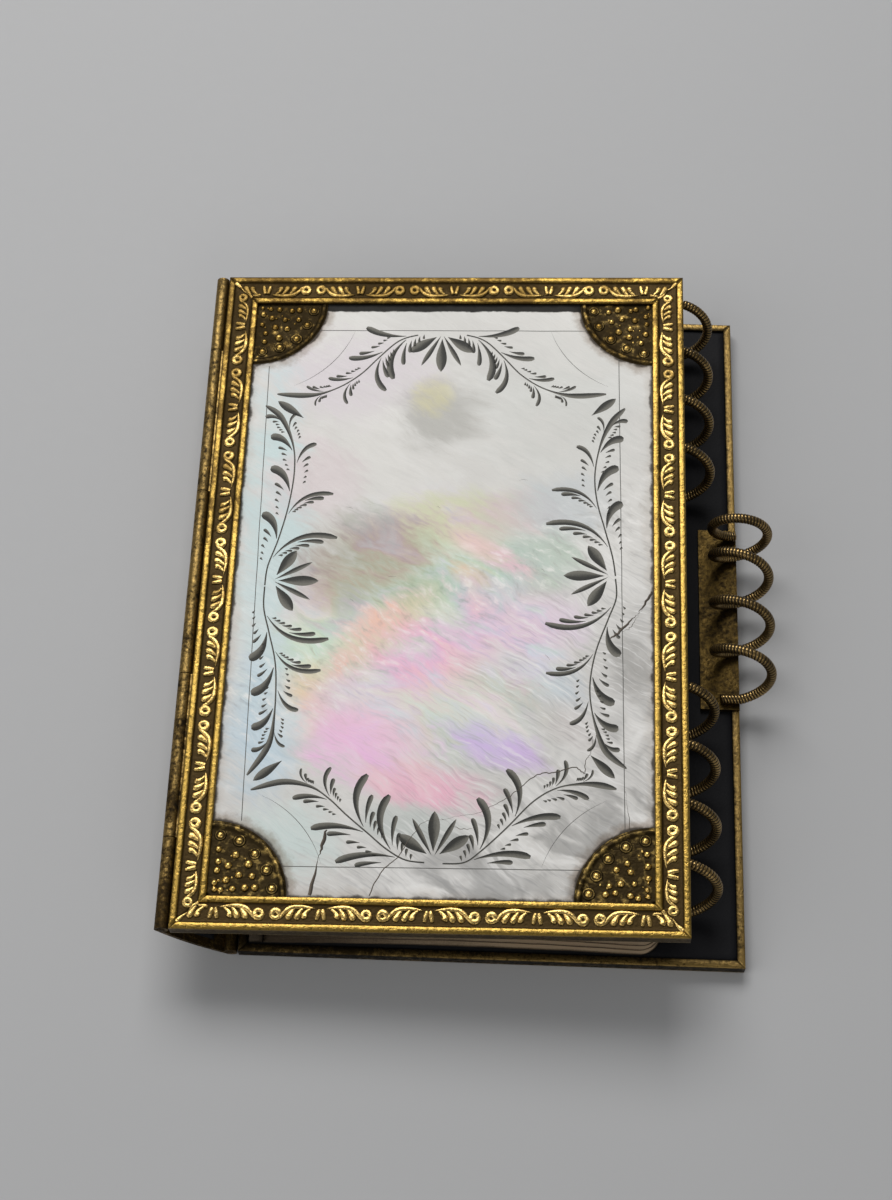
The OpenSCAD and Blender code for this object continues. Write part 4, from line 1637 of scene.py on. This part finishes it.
@dataclass
class Engraving:
    """The wreath, border and cracks of the front plaque."""

    cover: CoverFrame
    finishes: Finishes
    maker: MeshMaker = field(default_factory=MeshMaker)
    fine: MeshMaker = field(default_factory=MeshMaker)
    cracks: MeshMaker = field(default_factory=MeshMaker)

    ARCHING = Habit(
        (0.6, 0.8), (0.59, 0.17), 0.1, 0.8, 0.3,
        ((0.35, 0.26, 0.39), (0.28, 0.25, 0.21), (0.21, 0.18, 0.15), (0.15, 0.13, 0.11), (0.1, 0.09, 0.09),
         (0.05, 0.06, 0.07)),
    )
    PLUMED = Habit(
        (0.72, 0.69), (0.7, 0.22), 0.3, 1.2, 0.55,
        ((0.02, 0.18, 0.36), (-0.18, 0.22, 0.22), (-0.4, 0.26, 0.16), (-0.62, 0.23, 0.12), (-0.82, 0.2, 0.1)),
    )
    NESTED = Habit(
        (0.62, 0.78), (0.64, 0.24), 0.15, 0.98, 0.5,
        ((0.02, 0.08, 0.54), (-0.1, 0.07, 0.3), (-0.2, 0.06, 0.2), (-0.3, 0.05, 0.15), (-0.4, 0.05, 0.11)),
    )
    FEATHERED = Habit(
        (0.8, 0.6), (0.54, 0.19), 0.17, 0.9, 0.78,
        ((0.14, 0.2, 0.45), (-0.1, 0.2, 0.26), (-0.26, 0.19, 0.18), (-0.4, 0.18, 0.13), (-0.52, 0.17, 0.1)),
    )
    INNER = ((0.2, 8.6), (0.4, 6.4), (0.61, 3.8), (0.79, 2.4))
    OUTER = ((0.29, 4.2), (0.49, 4.4), (0.68, 3.6), (0.84, 2.2))
    STEMS = (
        Stem(
            ((1.9, 37.4), (3.6, 36.9), (5.1, 35.9), (7.2, 33.6), (9.3, 31.2), (11.9, 29.3), (14.7, 28.2),
             (17.2, 27.9), (20.7, 28.2)),
            ((0.13, 6.6), (0.38, 5.2), (0.6, 3.2), (0.76, 1.8)),
            ((0.12, 5.6), (0.34, 4.6), (0.56, 3.4), (0.74, 2.4)),
        ),
        Stem(
            ((-4.7, 37.4), (-6.4, 36.9), (-7.9, 35.9), (-10.0, 33.6), (-12.1, 31.2), (-14.6, 29.3),
             (-17.3, 28.1), (-19.8, 27.8), (-23.2, 28.0)),
            ((0.13, 6.4), (0.37, 5.2), (0.59, 3.2), (0.75, 1.8)),
            ((0.12, 5.6), (0.34, 4.6), (0.56, 3.3), (0.74, 2.4)),
        ),
        Stem(
            ((1.4, -37.7), (4.0, -37.5), (6.0, -36.0), (9.0, -33.0), (12.1, -29.6), (14.9, -27.8),
             (17.8, -27.2), (20.2, -27.3), (22.2, -27.8)),
            ((0.25, 6.6), (0.43, 6.2), (0.63, 3.6), (0.78, 2.0)),
            ((0.2, 6.8), (0.4, 6.0), (0.64, 4.0)),
        ),
        Stem(
            ((-0.8, -37.6), (-3.1, -37.3), (-5.4, -36.0), (-7.9, -33.9), (-10.5, -31.7), (-12.9, -29.5),
             (-15.3, -28.0), (-18.7, -27.5), (-22.5, -28.6)),
            ((0.24, 7.0), (0.42, 6.8), (0.63, 3.8), (0.78, 2.1)),
            ((0.2, 7.2), (0.4, 6.4), (0.64, 4.2)),
        ),
        Stem(
            ((-22.8, -0.6), (-22.6, 2.2), (-21.5, 6.1), (-20.5, 11.2), (-20.1, 16.3), (-20.6, 20.4),
             (-22.4, 24.4), (-24.6, 26.2)),
            INNER, OUTER, True,
        ),
        Stem(
            ((-22.8, -0.8), (-22.7, -3.8), (-21.8, -7.2), (-20.8, -10.9), (-20.4, -14.2), (-20.3, -18.9),
             (-20.8, -22.8), (-23.1, -26.7)),
            INNER, OUTER, True,
        ),
        Stem(
            ((22.0, 1.2), (21.6, 4.0), (20.6, 8.0), (19.6, 12.0), (19.3, 16.0), (20.0, 20.4), (21.4, 23.8),
             (23.2, 26.0)),
            INNER, OUTER, True,
        ),
        Stem(
            ((22.0, 0.8), (22.1, -1.9), (21.1, -4.9), (19.6, -9.3), (18.9, -13.4), (19.0, -16.6),
             (19.7, -19.8), (20.9, -22.9), (23.4, -25.1)),
            INNER, OUTER, True,
        ),
    )
    BORDER = ((-24.7, 38.1), (22.3, 38.1), (23.3, -38.2), (-23.2, -38.4))
    # Small strokes start no further than this from the middle, towards head and tail.
    REACH = 37.8
    STEPS = 12
    # A palmette's petals as angle, start, end and width.
    PETALS = (
        (-56, 0.9, 5.2, 1.45),
        (-28, 0.4, 5.7, 0.65),
        (0, 0.8, 6.0, 1.45),
        (28, 0.4, 5.7, 0.65),
        (56, 0.9, 5.2, 1.45),
    )
    PALMETTES = ((-1.4, 37.6, 270.0), (0.2, -37.0, 90.0), (-21.9, 0.1, 0.0), (21.4, 1.2, 180.0))
    ALMONDS = (
        ((18.8, 24.9), (22.0, 27.5)),
        ((-19.4, 24.3), (-23.0, 26.9)),
        ((-18.9, -24.7), (-22.3, -27.4)),
        ((19.0, -23.4), (22.0, -26.4)),
    )

    def build(self) -> None:
        """Cuts the wreath into the plaque, then the border, the hairlines and the cracks."""
        for stem in self.STEMS:
            self._stem(stem)
        for x, y, turn in self.PALMETTES:
            self._palmette(x, y, turn)
        for a, b in self.ALMONDS:
            self._petal(a, b, 1.15)
        self._border()
        self._damage()
        for name, maker, finish in (
            ("wreath", self.maker, self.finishes.cut),
            ("border_lines", self.fine, self.finishes.hairline),
            ("cracks", self.cracks, self.finishes.crack),
        ):
            mesh = maker.mesh(name, self.cover.point, self.cover.flips)
            mesh.polygons.foreach_set("use_smooth", [False] * len(mesh.polygons))
            add_piece(f"front_plaque_{name}", mesh, finish, self.cover.body)

    @property
    def lift(self) -> float:
        """Returns the height at which cuts are drawn, just over the plaque."""
        return -self.cover.sizes.band + 0.012

    def _comma(self, base: Vector, bend: Vector, tip: Vector, wide: float) -> None:
        """Cuts one curved stroke that swells from a hair to a blunt end."""
        shares = [i / self.STEPS for i in range(self.STEPS + 1)]
        path = [tuple(base * (1 - t) ** 2 + bend * (2 * t * (1 - t)) + tip * t * t) for t in shares]

        def swell(t: float) -> float:
            """Returns the stroke's width."""
            grown = 0.07 + 0.93 * math.sin(math.pi / 2 * min(t / 0.84, 1.0)) ** 1.2
            return wide * grown * (1 - 0.55 * max(0.0, (t - 0.86) / 0.14) ** 2)

        self.maker.ribbon(path, swell, self.lift)

    def _stem(self, stem: Stem) -> None:
        """Cuts a stem that ends in a leaf, and its sprays."""
        path = smooth_path(stem.points, 8)

        def wide(t: float) -> float:
            """Returns the stem's width, which swells to a leaf at its end."""
            return 0.19 + 0.62 * math.sin(math.pi * max(0.0, (t - 0.66) / 0.34) ** 1.7) if t > 0.66 else 0.19

        self.maker.ribbon(path, wide, self.lift)
        habits = (self.ARCHING, self.PLUMED) if stem.upright else (self.NESTED, self.FEATHERED)
        for group, way in ((stem.inner, 1.0), (stem.outer, -1.0)):
            for share, length in group:
                habit = habits[way < 0]
                i = min(int(share * (len(path) - 1)), len(path) - 2)
                here, ahead = Vector(path[i]), Vector(path[i + 1])
                forward = (ahead - here).normalized()
                side = Vector((-forward.y, forward.x))
                if side.dot(here) > 0:
                    side = -side
                if habit is self.ARCHING and share > 0.5:
                    habit = replace(self.PLUMED, broad=0.17)
                self._spray(here, forward, side * way, length, habit)

    def _spray(self, here: Vector, forward: Vector, side: Vector, length: float, habit: Habit) -> None:
        """Cuts one large leaf and, inside the border, a file of smaller strokes behind it.

        Args:
            here: Where it leaves the stem.
            forward: The stem's way from its palmette.
            side: The way from the stem that the spray grows.
            length: The large leaf's length in millimetres.
            habit: How it grows.
        """

        def at(along: float, away: float) -> Vector:
            """Returns a point in shares of the length from the leaf's base."""
            return here + side * 0.26 + forward * (along * length) + side * (away * length)

        bend, tip = at(*habit.bend), at(*habit.tip)
        self._comma(at(0, 0), bend, tip, min(habit.broad * length, habit.widest))
        way = forward * habit.lean + side * math.sqrt(1 - habit.lean**2)
        for along, away, size in habit.small:
            start = at(along, away)
            if abs(start.y) > self.REACH:
                continue
            reach = max(size * length, 0.5)
            middle = start + way * (reach * 0.5) + forward * (reach * 0.12)
            self._comma(start, middle, start + way * reach, min(0.2 + 0.16 * reach, 0.62))

    def _petal(self, a: Flat, b: Flat, wide: float) -> None:
        """Cuts an almond-shaped petal from one point to another."""
        path = [tuple(Vector(a).lerp(Vector(b), i / self.STEPS)) for i in range(self.STEPS + 1)]
        self.maker.ribbon(path, lambda t: wide * math.sin(math.pi * t**1.4) ** 0.75, self.lift)

    def _palmette(self, x: float, y: float, turn: float) -> None:
        """Cuts five petals that fan out towards the plaque's middle."""
        for angle, start, end, wide in self.PETALS:
            a = math.radians(turn + angle)
            way = (math.cos(a), math.sin(a))
            self._petal((x + way[0] * start, y + way[1] * start), (x + way[0] * end, y + way[1] * end), wide)

    def _border(self) -> None:
        """Scores the thin rectangle round the wreath and the arcs near its corners."""
        half, reach = self.cover.sizes.half_open, self.cover.sizes.corner + 0.1
        for a, b in zip(self.BORDER, self.BORDER[1:] + self.BORDER[:1]):
            path = [Vector(a).lerp(Vector(b), i / 120) for i in range(121)]
            path = [(x + 0.05 * wobble(y * 0.2, 1.0), y + 0.05 * wobble(x * 0.2, 2.0)) for x, y in path]
            path = [p for p in path if math.hypot(abs(p[0]) - half[0], abs(p[1]) - half[1]) > reach]
            self.fine.ribbon(path, lambda t: 0.095, self.lift - 0.004)
        for sx, sy in ((-1, 1), (1, 1), (-1, -1), (1, -1)):
            arc = [math.radians(18 + 3 * i) for i in range(17)]
            path = [(sx * (half[0] - 14.2 * math.cos(a)), sy * (half[1] - 14.2 * math.sin(a))) for a in arc]
            self.fine.ribbon(path, lambda t: 0.06 * math.sin(math.pi * t) + 0.012, self.lift - 0.006)

    def _damage(self) -> None:
        """Draws the cracks, scratches and the dark chip."""
        chance = random.Random(17)
        lines = (
            (((26.6, -1.0), (25.3, -3.4), (24.4, -4.6), (22.8, -6.4), (21.3, -7.7)), 0.34),
            (((25.4, -3.4), (24.0, -5.9), (22.9, -6.6)), 0.08),
            (((19.2, -20.8), (19.1, -22.9), (18.4, -24.2), (18.3, -25.8), (17.1, -25.0), (14.9, -25.7),
              (12.5, -26.1), (9.9, -28.4), (8.0, -29.7), (5.4, -31.2), (3.1, -31.6), (1.0, -32.1),
              (-1.2, -32.5), (-2.3, -34.1), (-4.1, -37.0), (-6.0, -39.0), (-7.3, -41.9)), 0.13),
            (((23.2, -28.0), (23.8, -32.0), (23.4, -36.0)), 0.08),
            (((-12.9, -33.7), (-13.3, -35.7), (-13.7, -38.1), (-14.4, -42.0)), 0.46),
            (((1.0, -31.9), (3.3, -33.2), (5.2, -33.0)), 0.07),
        )

        def ragged(wide: float) -> Callable[[float], float]:
            """Returns the uneven width of a crack."""
            return lambda t: wide * (0.55 + 0.45 * math.sin(9 * t + wide * 40))

        for points, wide in lines:
            path = smooth_path(points, 7)
            path = [(x + chance.uniform(-0.1, 0.1), y + chance.uniform(-0.1, 0.1)) for x, y in path]
            self.cracks.ribbon(path, ragged(wide), self.lift + 0.002)
        for _ in range(9):
            x, y, a = chance.uniform(-20, 20), chance.uniform(-30, 22), chance.uniform(-0.9, 0.2)
            size = chance.uniform(0.5, 1.4)
            path = []
            for t in (i / 6 for i in range(7)):
                path.append((x + size * t * math.cos(a), y + size * t * math.sin(a) + 0.1 * math.sin(3 * t)))
            self.fine.ribbon(path, lambda t: 0.03 * math.sin(math.pi * t) + 0.008, self.lift - 0.008)


@dataclass(frozen=True)
class CoilRun:
    """How one coil is wound, in millimetres along the cover."""

    node: str
    side: Side
    start: float
    first: float
    pitch: float
    spin: int
    tail: float = 0.0


@dataclass
class Coil:
    """A wire coil wound with finer wire."""

    run: CoilRun
    cover: CoverFrame
    finish: bpy.types.Material
    turns: int = 4
    wrap: float = 0.4
    sides: int = 16
    stations: int = 6
    taper: float = 0.3

    def _rise(self, turns: float) -> float:
        """Returns how far the coil has advanced after so many turns."""
        u = (turns - 0.6) / 0.5
        eased = 0.0 if u <= 0 else u**3 - u**4 / 2 if u < 1 else u - 0.5
        return self.run.first * turns + (self.run.pitch - self.run.first) * 0.5 * eased

    def _centre(self, turn: float) -> Vector:
        """Returns a point of the wire's middle line on the cover, with its lift."""
        s = self.cover.sizes
        a = math.radians(-90 + self.run.spin * 360 * turn)
        x, lift = s.width / 2 - s.coil * math.cos(a), -(s.coil_z + s.coil * math.sin(a))
        return Vector((x, self.run.start - self._rise(turn), lift))

    def build(self) -> None:
        """Builds the wound tube in place of its CAD node."""
        s = self.cover.sizes
        around = 2 * math.pi * s.coil
        total = self.turns * around + self.run.tail
        count = int(total / self.wrap * self.stations)
        maker = MeshMaker()
        rows = []
        for i in range(count + 1):
            length = total * i / count
            turn = min(length / around, self.turns)
            a = math.radians(-90 + self.run.spin * 360 * turn)
            here = self._centre(turn) - Vector((length - turn * around, 0, 0))
            run = (self._centre(turn + 0.002) - self._centre(turn - 0.002)).normalized()
            out = Vector((-math.cos(a), 0, -math.sin(a)))
            side = run.cross(out)
            end = min(length, total - length)
            slim = math.sqrt(max(0.0, 1 - (1 - min(1.0, end / self.taper)) ** 2)) * 0.75 + 0.25
            row = []
            for j in range(self.sides):
                b = 2 * math.pi * j / self.sides
                ridge = abs(math.cos(math.pi * length / self.wrap + b / 2))
                rub = 0.02 * wobble(length * 0.3, b, self.run.start)
                r = s.wire * slim * (0.86 + 0.14 * ridge**0.6)
                p = here + (out * math.cos(b) + side * math.sin(b)) * r
                row.append(maker.add(p.x, p.y, p.z, length, b, ridge**0.8 + rub * 6))
            rows.append(row)
        maker.grid(rows, across=True)
        maker.cap(rows)
        mesh = maker.mesh(self.run.node, self.cover.point, self.cover.flips)
        add_piece(f"{self.run.node}_wound", mesh, self.finish, self.cover.body, [self.run.node])


@dataclass
class Quire:
    """The leaves, the sewn guard at their fold and its stitches."""

    cover: CoverFrame
    finishes: Finishes
    scatter: Scatter
    left: float = field(init=False)
    right: float = field(init=False)
    half: float = field(init=False)
    leaves: int = 5
    lower: int = 3
    bow: float = 1.2
    bow_step: float = 0.35
    rounding: float = 3.0
    stagger: float = 0.42
    columns: int = 64

    def __post_init__(self) -> None:
        """Reads the leaves' extent from the lowest CAD leaf."""
        low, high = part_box("leaf_1")
        shift = self.cover.sizes.shift
        self.left, self.right = low[0] / MM - shift, high[0] / MM - shift
        self.half = high[1] / MM

    def build(self) -> None:
        """Builds every leaf, the guard and its stitches."""
        for number in range(1, self.leaves + 1):
            self._leaf(number)
        self._guard()
        self._stitches()

    def _leaf(self, number: int) -> None:
        """Builds one bowed leaf with a slightly wavy surface, edges darkened by browning and painted shade,
        and painted shade near the fold.
        """
        s = self.cover.sizes
        bow = self.bow + self.bow_step * (number - 1)
        wide = self.right - self.left
        arc = ((wide / 2) ** 2 + bow**2) / (2 * bow)
        low = s.thick - s.lip_t + (s.leaf_step - s.leaf_t) + (number - 1) * s.leaf_step
        middle, centre = (self.left + self.right) / 2, low + bow - arc
        maker = MeshMaker()
        sheets = []
        columns, r = self.columns, self.rounding
        bend = [self.half - r + r * math.sin(math.pi * k / 24) for k in range(13)]
        straight = [(self.half - r) * (k / 27 - 1) for k in range(1, 54)]
        levels = [-y for y in reversed(bend)] + straight + bend
        for top in (True, False):
            rows = []
            for y0 in levels:
                over = max(0.0, abs(y0) - (self.half - r))
                edge = self.right - (r - math.sqrt(max(0.0, r * r - over * over)))
                edge -= 0.12 * abs(wobble(y0 * 0.3, number * 3.1)) + 0.05 * abs(wobble(y0 * 1.7, number))
                row = []
                for j in range(columns + 1):
                    x = self.left + (edge - self.left) * (1 - (1 - j / columns) ** 1.25)
                    y = y0 * (1 - 0.0022 * abs(wobble(x * 0.25, number * 1.7)))
                    if y < 0:
                        y *= 1 - self.stagger * (number - 1) / self.half
                    calm = math.sin(math.pi * j / columns)
                    wave = 0.02 * wobble(x * 0.4, y * 0.3, number)
                    wave += 0.09 * calm * wobble(x * 0.09, y * 0.07, number * 2.3)
                    z = centre + math.sqrt((arc + (s.leaf_t if top else 0.0)) ** 2 - (x - middle) ** 2) + wave
                    deep, end = x - self.left, self.half - abs(y0)
                    # Relief falls towards 0 at the edges, where the paper browns and painted shade between
                    # the leaves is laid, and near the fold, most of all at the head and tail ends, as painted
                    # shade for the shadow of the front cover.
                    rim = max(min((edge - x) / 0.5, end / 0.5), 0.0) ** 0.6
                    clean_and_unshaded = min(rim, max(deep / 46.0, end / 4.0), 0.35 + deep / 6.0, 1.0)
                    row.append(maker.add(x, y, -z, x, y, clean_and_unshaded))
                rows.append(row)
            sheets.append(rows)
        maker.slab(*sheets)
        body = "upper_leaves" if number > self.lower else self.cover.body
        mesh = maker.mesh(f"leaf_{number}", self.cover.point, self.cover.flips)
        mesh.polygons.foreach_set("use_smooth", [abs(p.normal.z) > 0.5 for p in mesh.polygons])
        add_piece(f"leaf_{number}_paper", mesh, self.finishes.paper, body, [f"leaf_{number}"])

    def _guard(self) -> None:
        """Builds the sewn strip at the fold."""
        low, high = ([v / MM for v in p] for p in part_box("guard"))
        s = self.cover.sizes
        x0, x1 = low[0] - s.shift, high[0] - s.shift
        maker = MeshMaker()
        rows = []
        for i in range(91):
            y = low[1] + (high[1] - low[1]) * i / 90
            row = []
            for x, z in (
                (x0, low[2]),
                (x0, high[2] - 0.5),
                (x0 + 0.15, high[2] - 0.14),
                (x0 + 0.45, high[2]),
                (x1 - 0.45, high[2]),
                (x1 - 0.15, high[2] - 0.14),
                (x1, high[2] - 0.5),
                (x1, low[2]),
            ):
                sink = 0.05 * (0.5 + 0.5 * wobble(y * 0.5, x * 2)) if z > low[2] else 0.0
                row.append(maker.add(x, y, -(z - sink), x, y, 1.0))
            rows.append(row[::-1])
        maker.grid(rows, across=True)
        maker.cap(rows)
        mesh = maker.mesh("guard", self.cover.point, self.cover.flips)
        add_piece("guard_cloth", mesh, self.finishes.guard, self.cover.body, ["guard"])

    def _stitches(self) -> None:
        """Sews a row of long stitches along the top of the guard."""
        low, high = ([v / MM for v in p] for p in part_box("guard"))
        middle = (low[0] + high[0]) / 2 - self.cover.sizes.shift
        stitch = MeshMaker()
        path = [(-1.15 + 2.3 * i / 12, 0.05 * math.sin(i * 0.7)) for i in range(13)]
        stitch.stroke(path, lambda t: 0.24 * math.sin(math.pi * (0.08 + 0.84 * t)) ** 0.4, -0.1)
        spots = [Spot(middle, y, -(high[2] - 0.06), 88.0) for y in range(-42, 43, 4)]
        motif = stitch.mesh("stitch", flips=True)
        self.scatter.piece(
            "guard_stitches", motif, spots, self.finishes.thread, self.cover, "guard_cloth", 0.08, 3
        )


@dataclass
class Lining:
    """The dark lining inside a cover, pressed flat under the lip."""

    cover: CoverFrame
    finishes: Finishes

    def build(self) -> None:
        """Builds the sheet in place of its CAD node."""
        s = self.cover.sizes
        half_w, half_h = s.width / 2 - s.wall - 0.05, s.height / 2 - s.wall - 0.05
        top = s.thick - s.lip_t
        maker = MeshMaker()
        sheets = []
        high, wide = 60, 40
        for z in (top, top - s.lining_t):
            rows = []
            for i in range(high + 1):
                y = -half_h + 2 * half_h * i / high
                row = []
                for j in range(wide + 1):
                    x = -half_w + 2 * half_w * j / wide
                    dip = 0.03 * (0.5 + 0.5 * wobble(x * 0.3, y * 0.25, 8.0)) if z == top else 0.0
                    row.append(maker.add(x, y, -(z - dip), x, y, 1.0))
                rows.append(row)
            sheets.append(rows)
        maker.slab(*sheets)
        name = self.cover.node("lining")
        mesh = maker.mesh(name, self.cover.point, self.cover.flips)
        sheet = add_piece(f"{name}_sheet", mesh, self.finishes.lining, self.cover.body, [name])
        self.cover.node("board")


@dataclass
class SpineLining:
    """The dark strip pasted inside the rounded spine plate."""

    sizes: CaseSizes
    finish: bpy.types.Material
    bulge: float = 0.5
    end: float = 0.8
    plate: float = 0.5
    inset: float = 2.4
    stations: int = 60
    columns: int = 8

    def build(self) -> None:
        """Builds the curved strip in place of its CAD node."""
        s = self.sizes
        foot, top = Vector(s.back_hinge), Vector(s.front_hinge)
        run = (top - foot).length
        up = (top - foot) / run
        out = Vector((-up.y, up.x))
        arc = ((run / 2) ** 2 + self.bulge**2) / (2 * self.bulge)
        middle = foot + up * (run / 2) - out * (arc - self.end - self.bulge)
        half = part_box("spine_doublure")[1][1] / MM
        maker = MeshMaker()
        sheets = []
        for inner in (True, False):
            r = arc - self.plate - (s.lining_t if inner else 0.0)
            reach = math.asin((run / 2 - self.inset) / r)
            rows = []
            for i in range(2 * self.stations + 1):
                y = half * (i / self.stations - 1)
                row = []
                for j in range(2 * self.columns + 1):
                    a = reach * (j / self.columns - 1)
                    dip = 0.03 * (0.5 + 0.5 * wobble(a * 30, y * 0.4, 5.0)) if inner else 0.0
                    p = middle + out * ((r + dip) * math.cos(a)) + up * ((r + dip) * math.sin(a))
                    row.append(maker.add(p.x, y, p.y, a * r, y, 1.0))
                rows.append(row)
            sheets.append(rows)
        maker.slab(*sheets)
        mesh = maker.mesh("spine_doublure", lambda x, y, z: Vector((x, y, z)) * MM)
        add_piece("spine_doublure_strip", mesh, self.finish, "spine", ["spine_doublure"])


@dataclass
class Studio:
    """The floor, the lights and the camera, whose focal length is in pixels of a picture so high."""

    focal: float = 2200.0
    picture: float = 1200.0
    sensor: float = 36.0
    elevation: float = 63.907
    yaw: float = -2.09
    aim: Flat = (-4.623, 3.264)
    distance: float = 292.171

    def build(self) -> None:
        """Sets up everything round the case."""
        self._floor()
        self._camera()
        world = bpy.data.worlds.new("studio")
        bpy.context.scene.world = world
        world.use_nodes = True
        shade = world.node_tree.nodes["Background"]
        shade.inputs["Color"].default_value = (0.66, 0.66, 0.65, 1.0)
        shade.inputs["Strength"].default_value = 0.22
        self._lamp("key", (-0.12, 0.42, 0.55), (0.5, 0.35), 3.0, (1.0, 0.98, 0.95))
        self._lamp("fill", (-0.5, -0.25, 0.45), (0.5, 0.5), 1.1, (1.0, 0.99, 0.97))
        self._lamp("front", (0.25, -0.55, 0.42), (0.4, 0.25), 0.4, (1.0, 0.97, 0.92))
        bpy.context.scene.view_settings.view_transform = "Standard"

    def _floor(self) -> None:
        """Lays the plain pale floor."""
        maker = MeshMaker()
        rows = [[maker.add(x, y, -0.0002, x, y, 1.0) for x in (-3.0, 0.0, 3.0)] for y in (-3.0, 0.0, 3.0)]
        maker.grid(rows)
        mesh = maker.mesh("floor")
        mesh.materials.append(Floor("pale_floor").build())
        floor = bpy.data.objects.new("floor", mesh)
        bpy.context.scene.collection.objects.link(floor)

    def _camera(self) -> None:
        """Sets the camera where the picture was taken from."""
        data = bpy.data.cameras.new("camera")
        data.sensor_fit = "VERTICAL"
        data.sensor_height = self.sensor
        data.lens = self.focal * self.sensor / self.picture
        data.clip_start, data.clip_end = 0.01, 20.0
        up = math.radians(self.elevation)
        turn = Matrix.Rotation(math.radians(-self.yaw), 3, "Z")
        right = turn @ Vector((1, 0, 0))
        top = turn @ Vector((0, math.sin(up), math.cos(up)))
        back = turn @ Vector((0, -math.cos(up), math.sin(up)))
        at = turn @ (Vector((*self.aim, 0.0)) + Vector((0, -math.cos(up), math.sin(up))) * self.distance)
        pose = Matrix((right, top, back)).transposed().to_4x4()
        pose.translation = at * MM
        camera = bpy.data.objects.new("camera", data)
        bpy.context.scene.collection.objects.link(camera)
        camera.matrix_world = pose
        bpy.context.scene.camera = camera

    @staticmethod
    def _lamp(name: str, at: tuple[float, float, float], size: Flat, power: float, colour: Colour) -> None:
        """Adds one soft lamp that points at the case.

        Args:
            name: Its name.
            at: Where it hangs, in metres.
            size: Its width and height.
            power: Its power in watts.
            colour: Its colour.
        """
        data = bpy.data.lights.new(name, "AREA")
        data.shape = "RECTANGLE"
        data.size, data.size_y = size
        data.energy = power
        data.color = colour
        lamp = bpy.data.objects.new(name, data)
        bpy.context.scene.collection.objects.link(lamp)
        lamp.location = at
        lamp.rotation_euler = (-Vector(at)).to_track_quat("-Z", "Y").to_euler()


@dataclass
class Case:
    """The whole case, put together from its sub-assemblies."""

    sizes: CaseSizes
    finishes: Finishes
    scatter: Scatter

    def build(self) -> None:
        """Builds every piece."""
        covers = {side: CoverFrame(side, self.sizes) for side in Side}
        for cover in covers.values():
            StampedFrame(cover, self.finishes, self.scatter).build()
            CornerPieces(cover, self.finishes, self.scatter).build()
            Lining(cover, self.finishes).build()
            paint_node(cover.node("plaque"), self.finishes.nacre[cover.side])
            paint_node(cover.node("board"), self.finishes.board)
            paint_node(cover.node("knuckles"), self.finishes.hinge)
            paint_node(cover.node("pin"), self.finishes.hinge)
        for node in ("back_coil_plate", "front_coil_plate_head", "front_coil_plate_tail"):
            paint_node(node, self.finishes.plate)
        paint_node("spine", self.finishes.hinge)
        SpineLining(self.sizes, self.finishes.lining).build()
        for run in self._coils():
            Coil(run, covers[run.side], self.finishes.wire).build()
        Engraving(covers[Side.FRONT], self.finishes).build()
        Quire(covers[Side.BACK], self.finishes, self.scatter).build()

    def _coils(self) -> tuple[CoilRun, ...]:
        """Returns how the three coils are wound: the back one first, then head and tail."""
        margin, gap = 2.4, 1.65
        back_start, back_end, reach = 12.4025, -11.2025, self.sizes.height / 2 - margin
        head_end, tail_start = back_start + gap, back_end - gap
        head, tail = (reach - head_end) / 4, (tail_start + reach) / 4
        return (
            CoilRun("back_coil", Side.BACK, back_start, 2.2, 6.9, 1, tail=2.6),
            CoilRun("front_coil_head", Side.FRONT, reach, head, head, -1),
            CoilRun("front_coil_tail", Side.FRONT, tail_start, tail, tail, -1),
        )


def main() -> None:
    """Builds the scene."""
    sizes = CaseSizes.from_frame()
    LOG.info("covers %.2f by %.2f mm, tilt %.3f degrees", sizes.width, sizes.height, math.degrees(sizes.tilt))
    Case(sizes, Finishes.build(sizes), Scatter("scatter")).build()
    Studio().build()


if __name__ == "__main__":
    main()
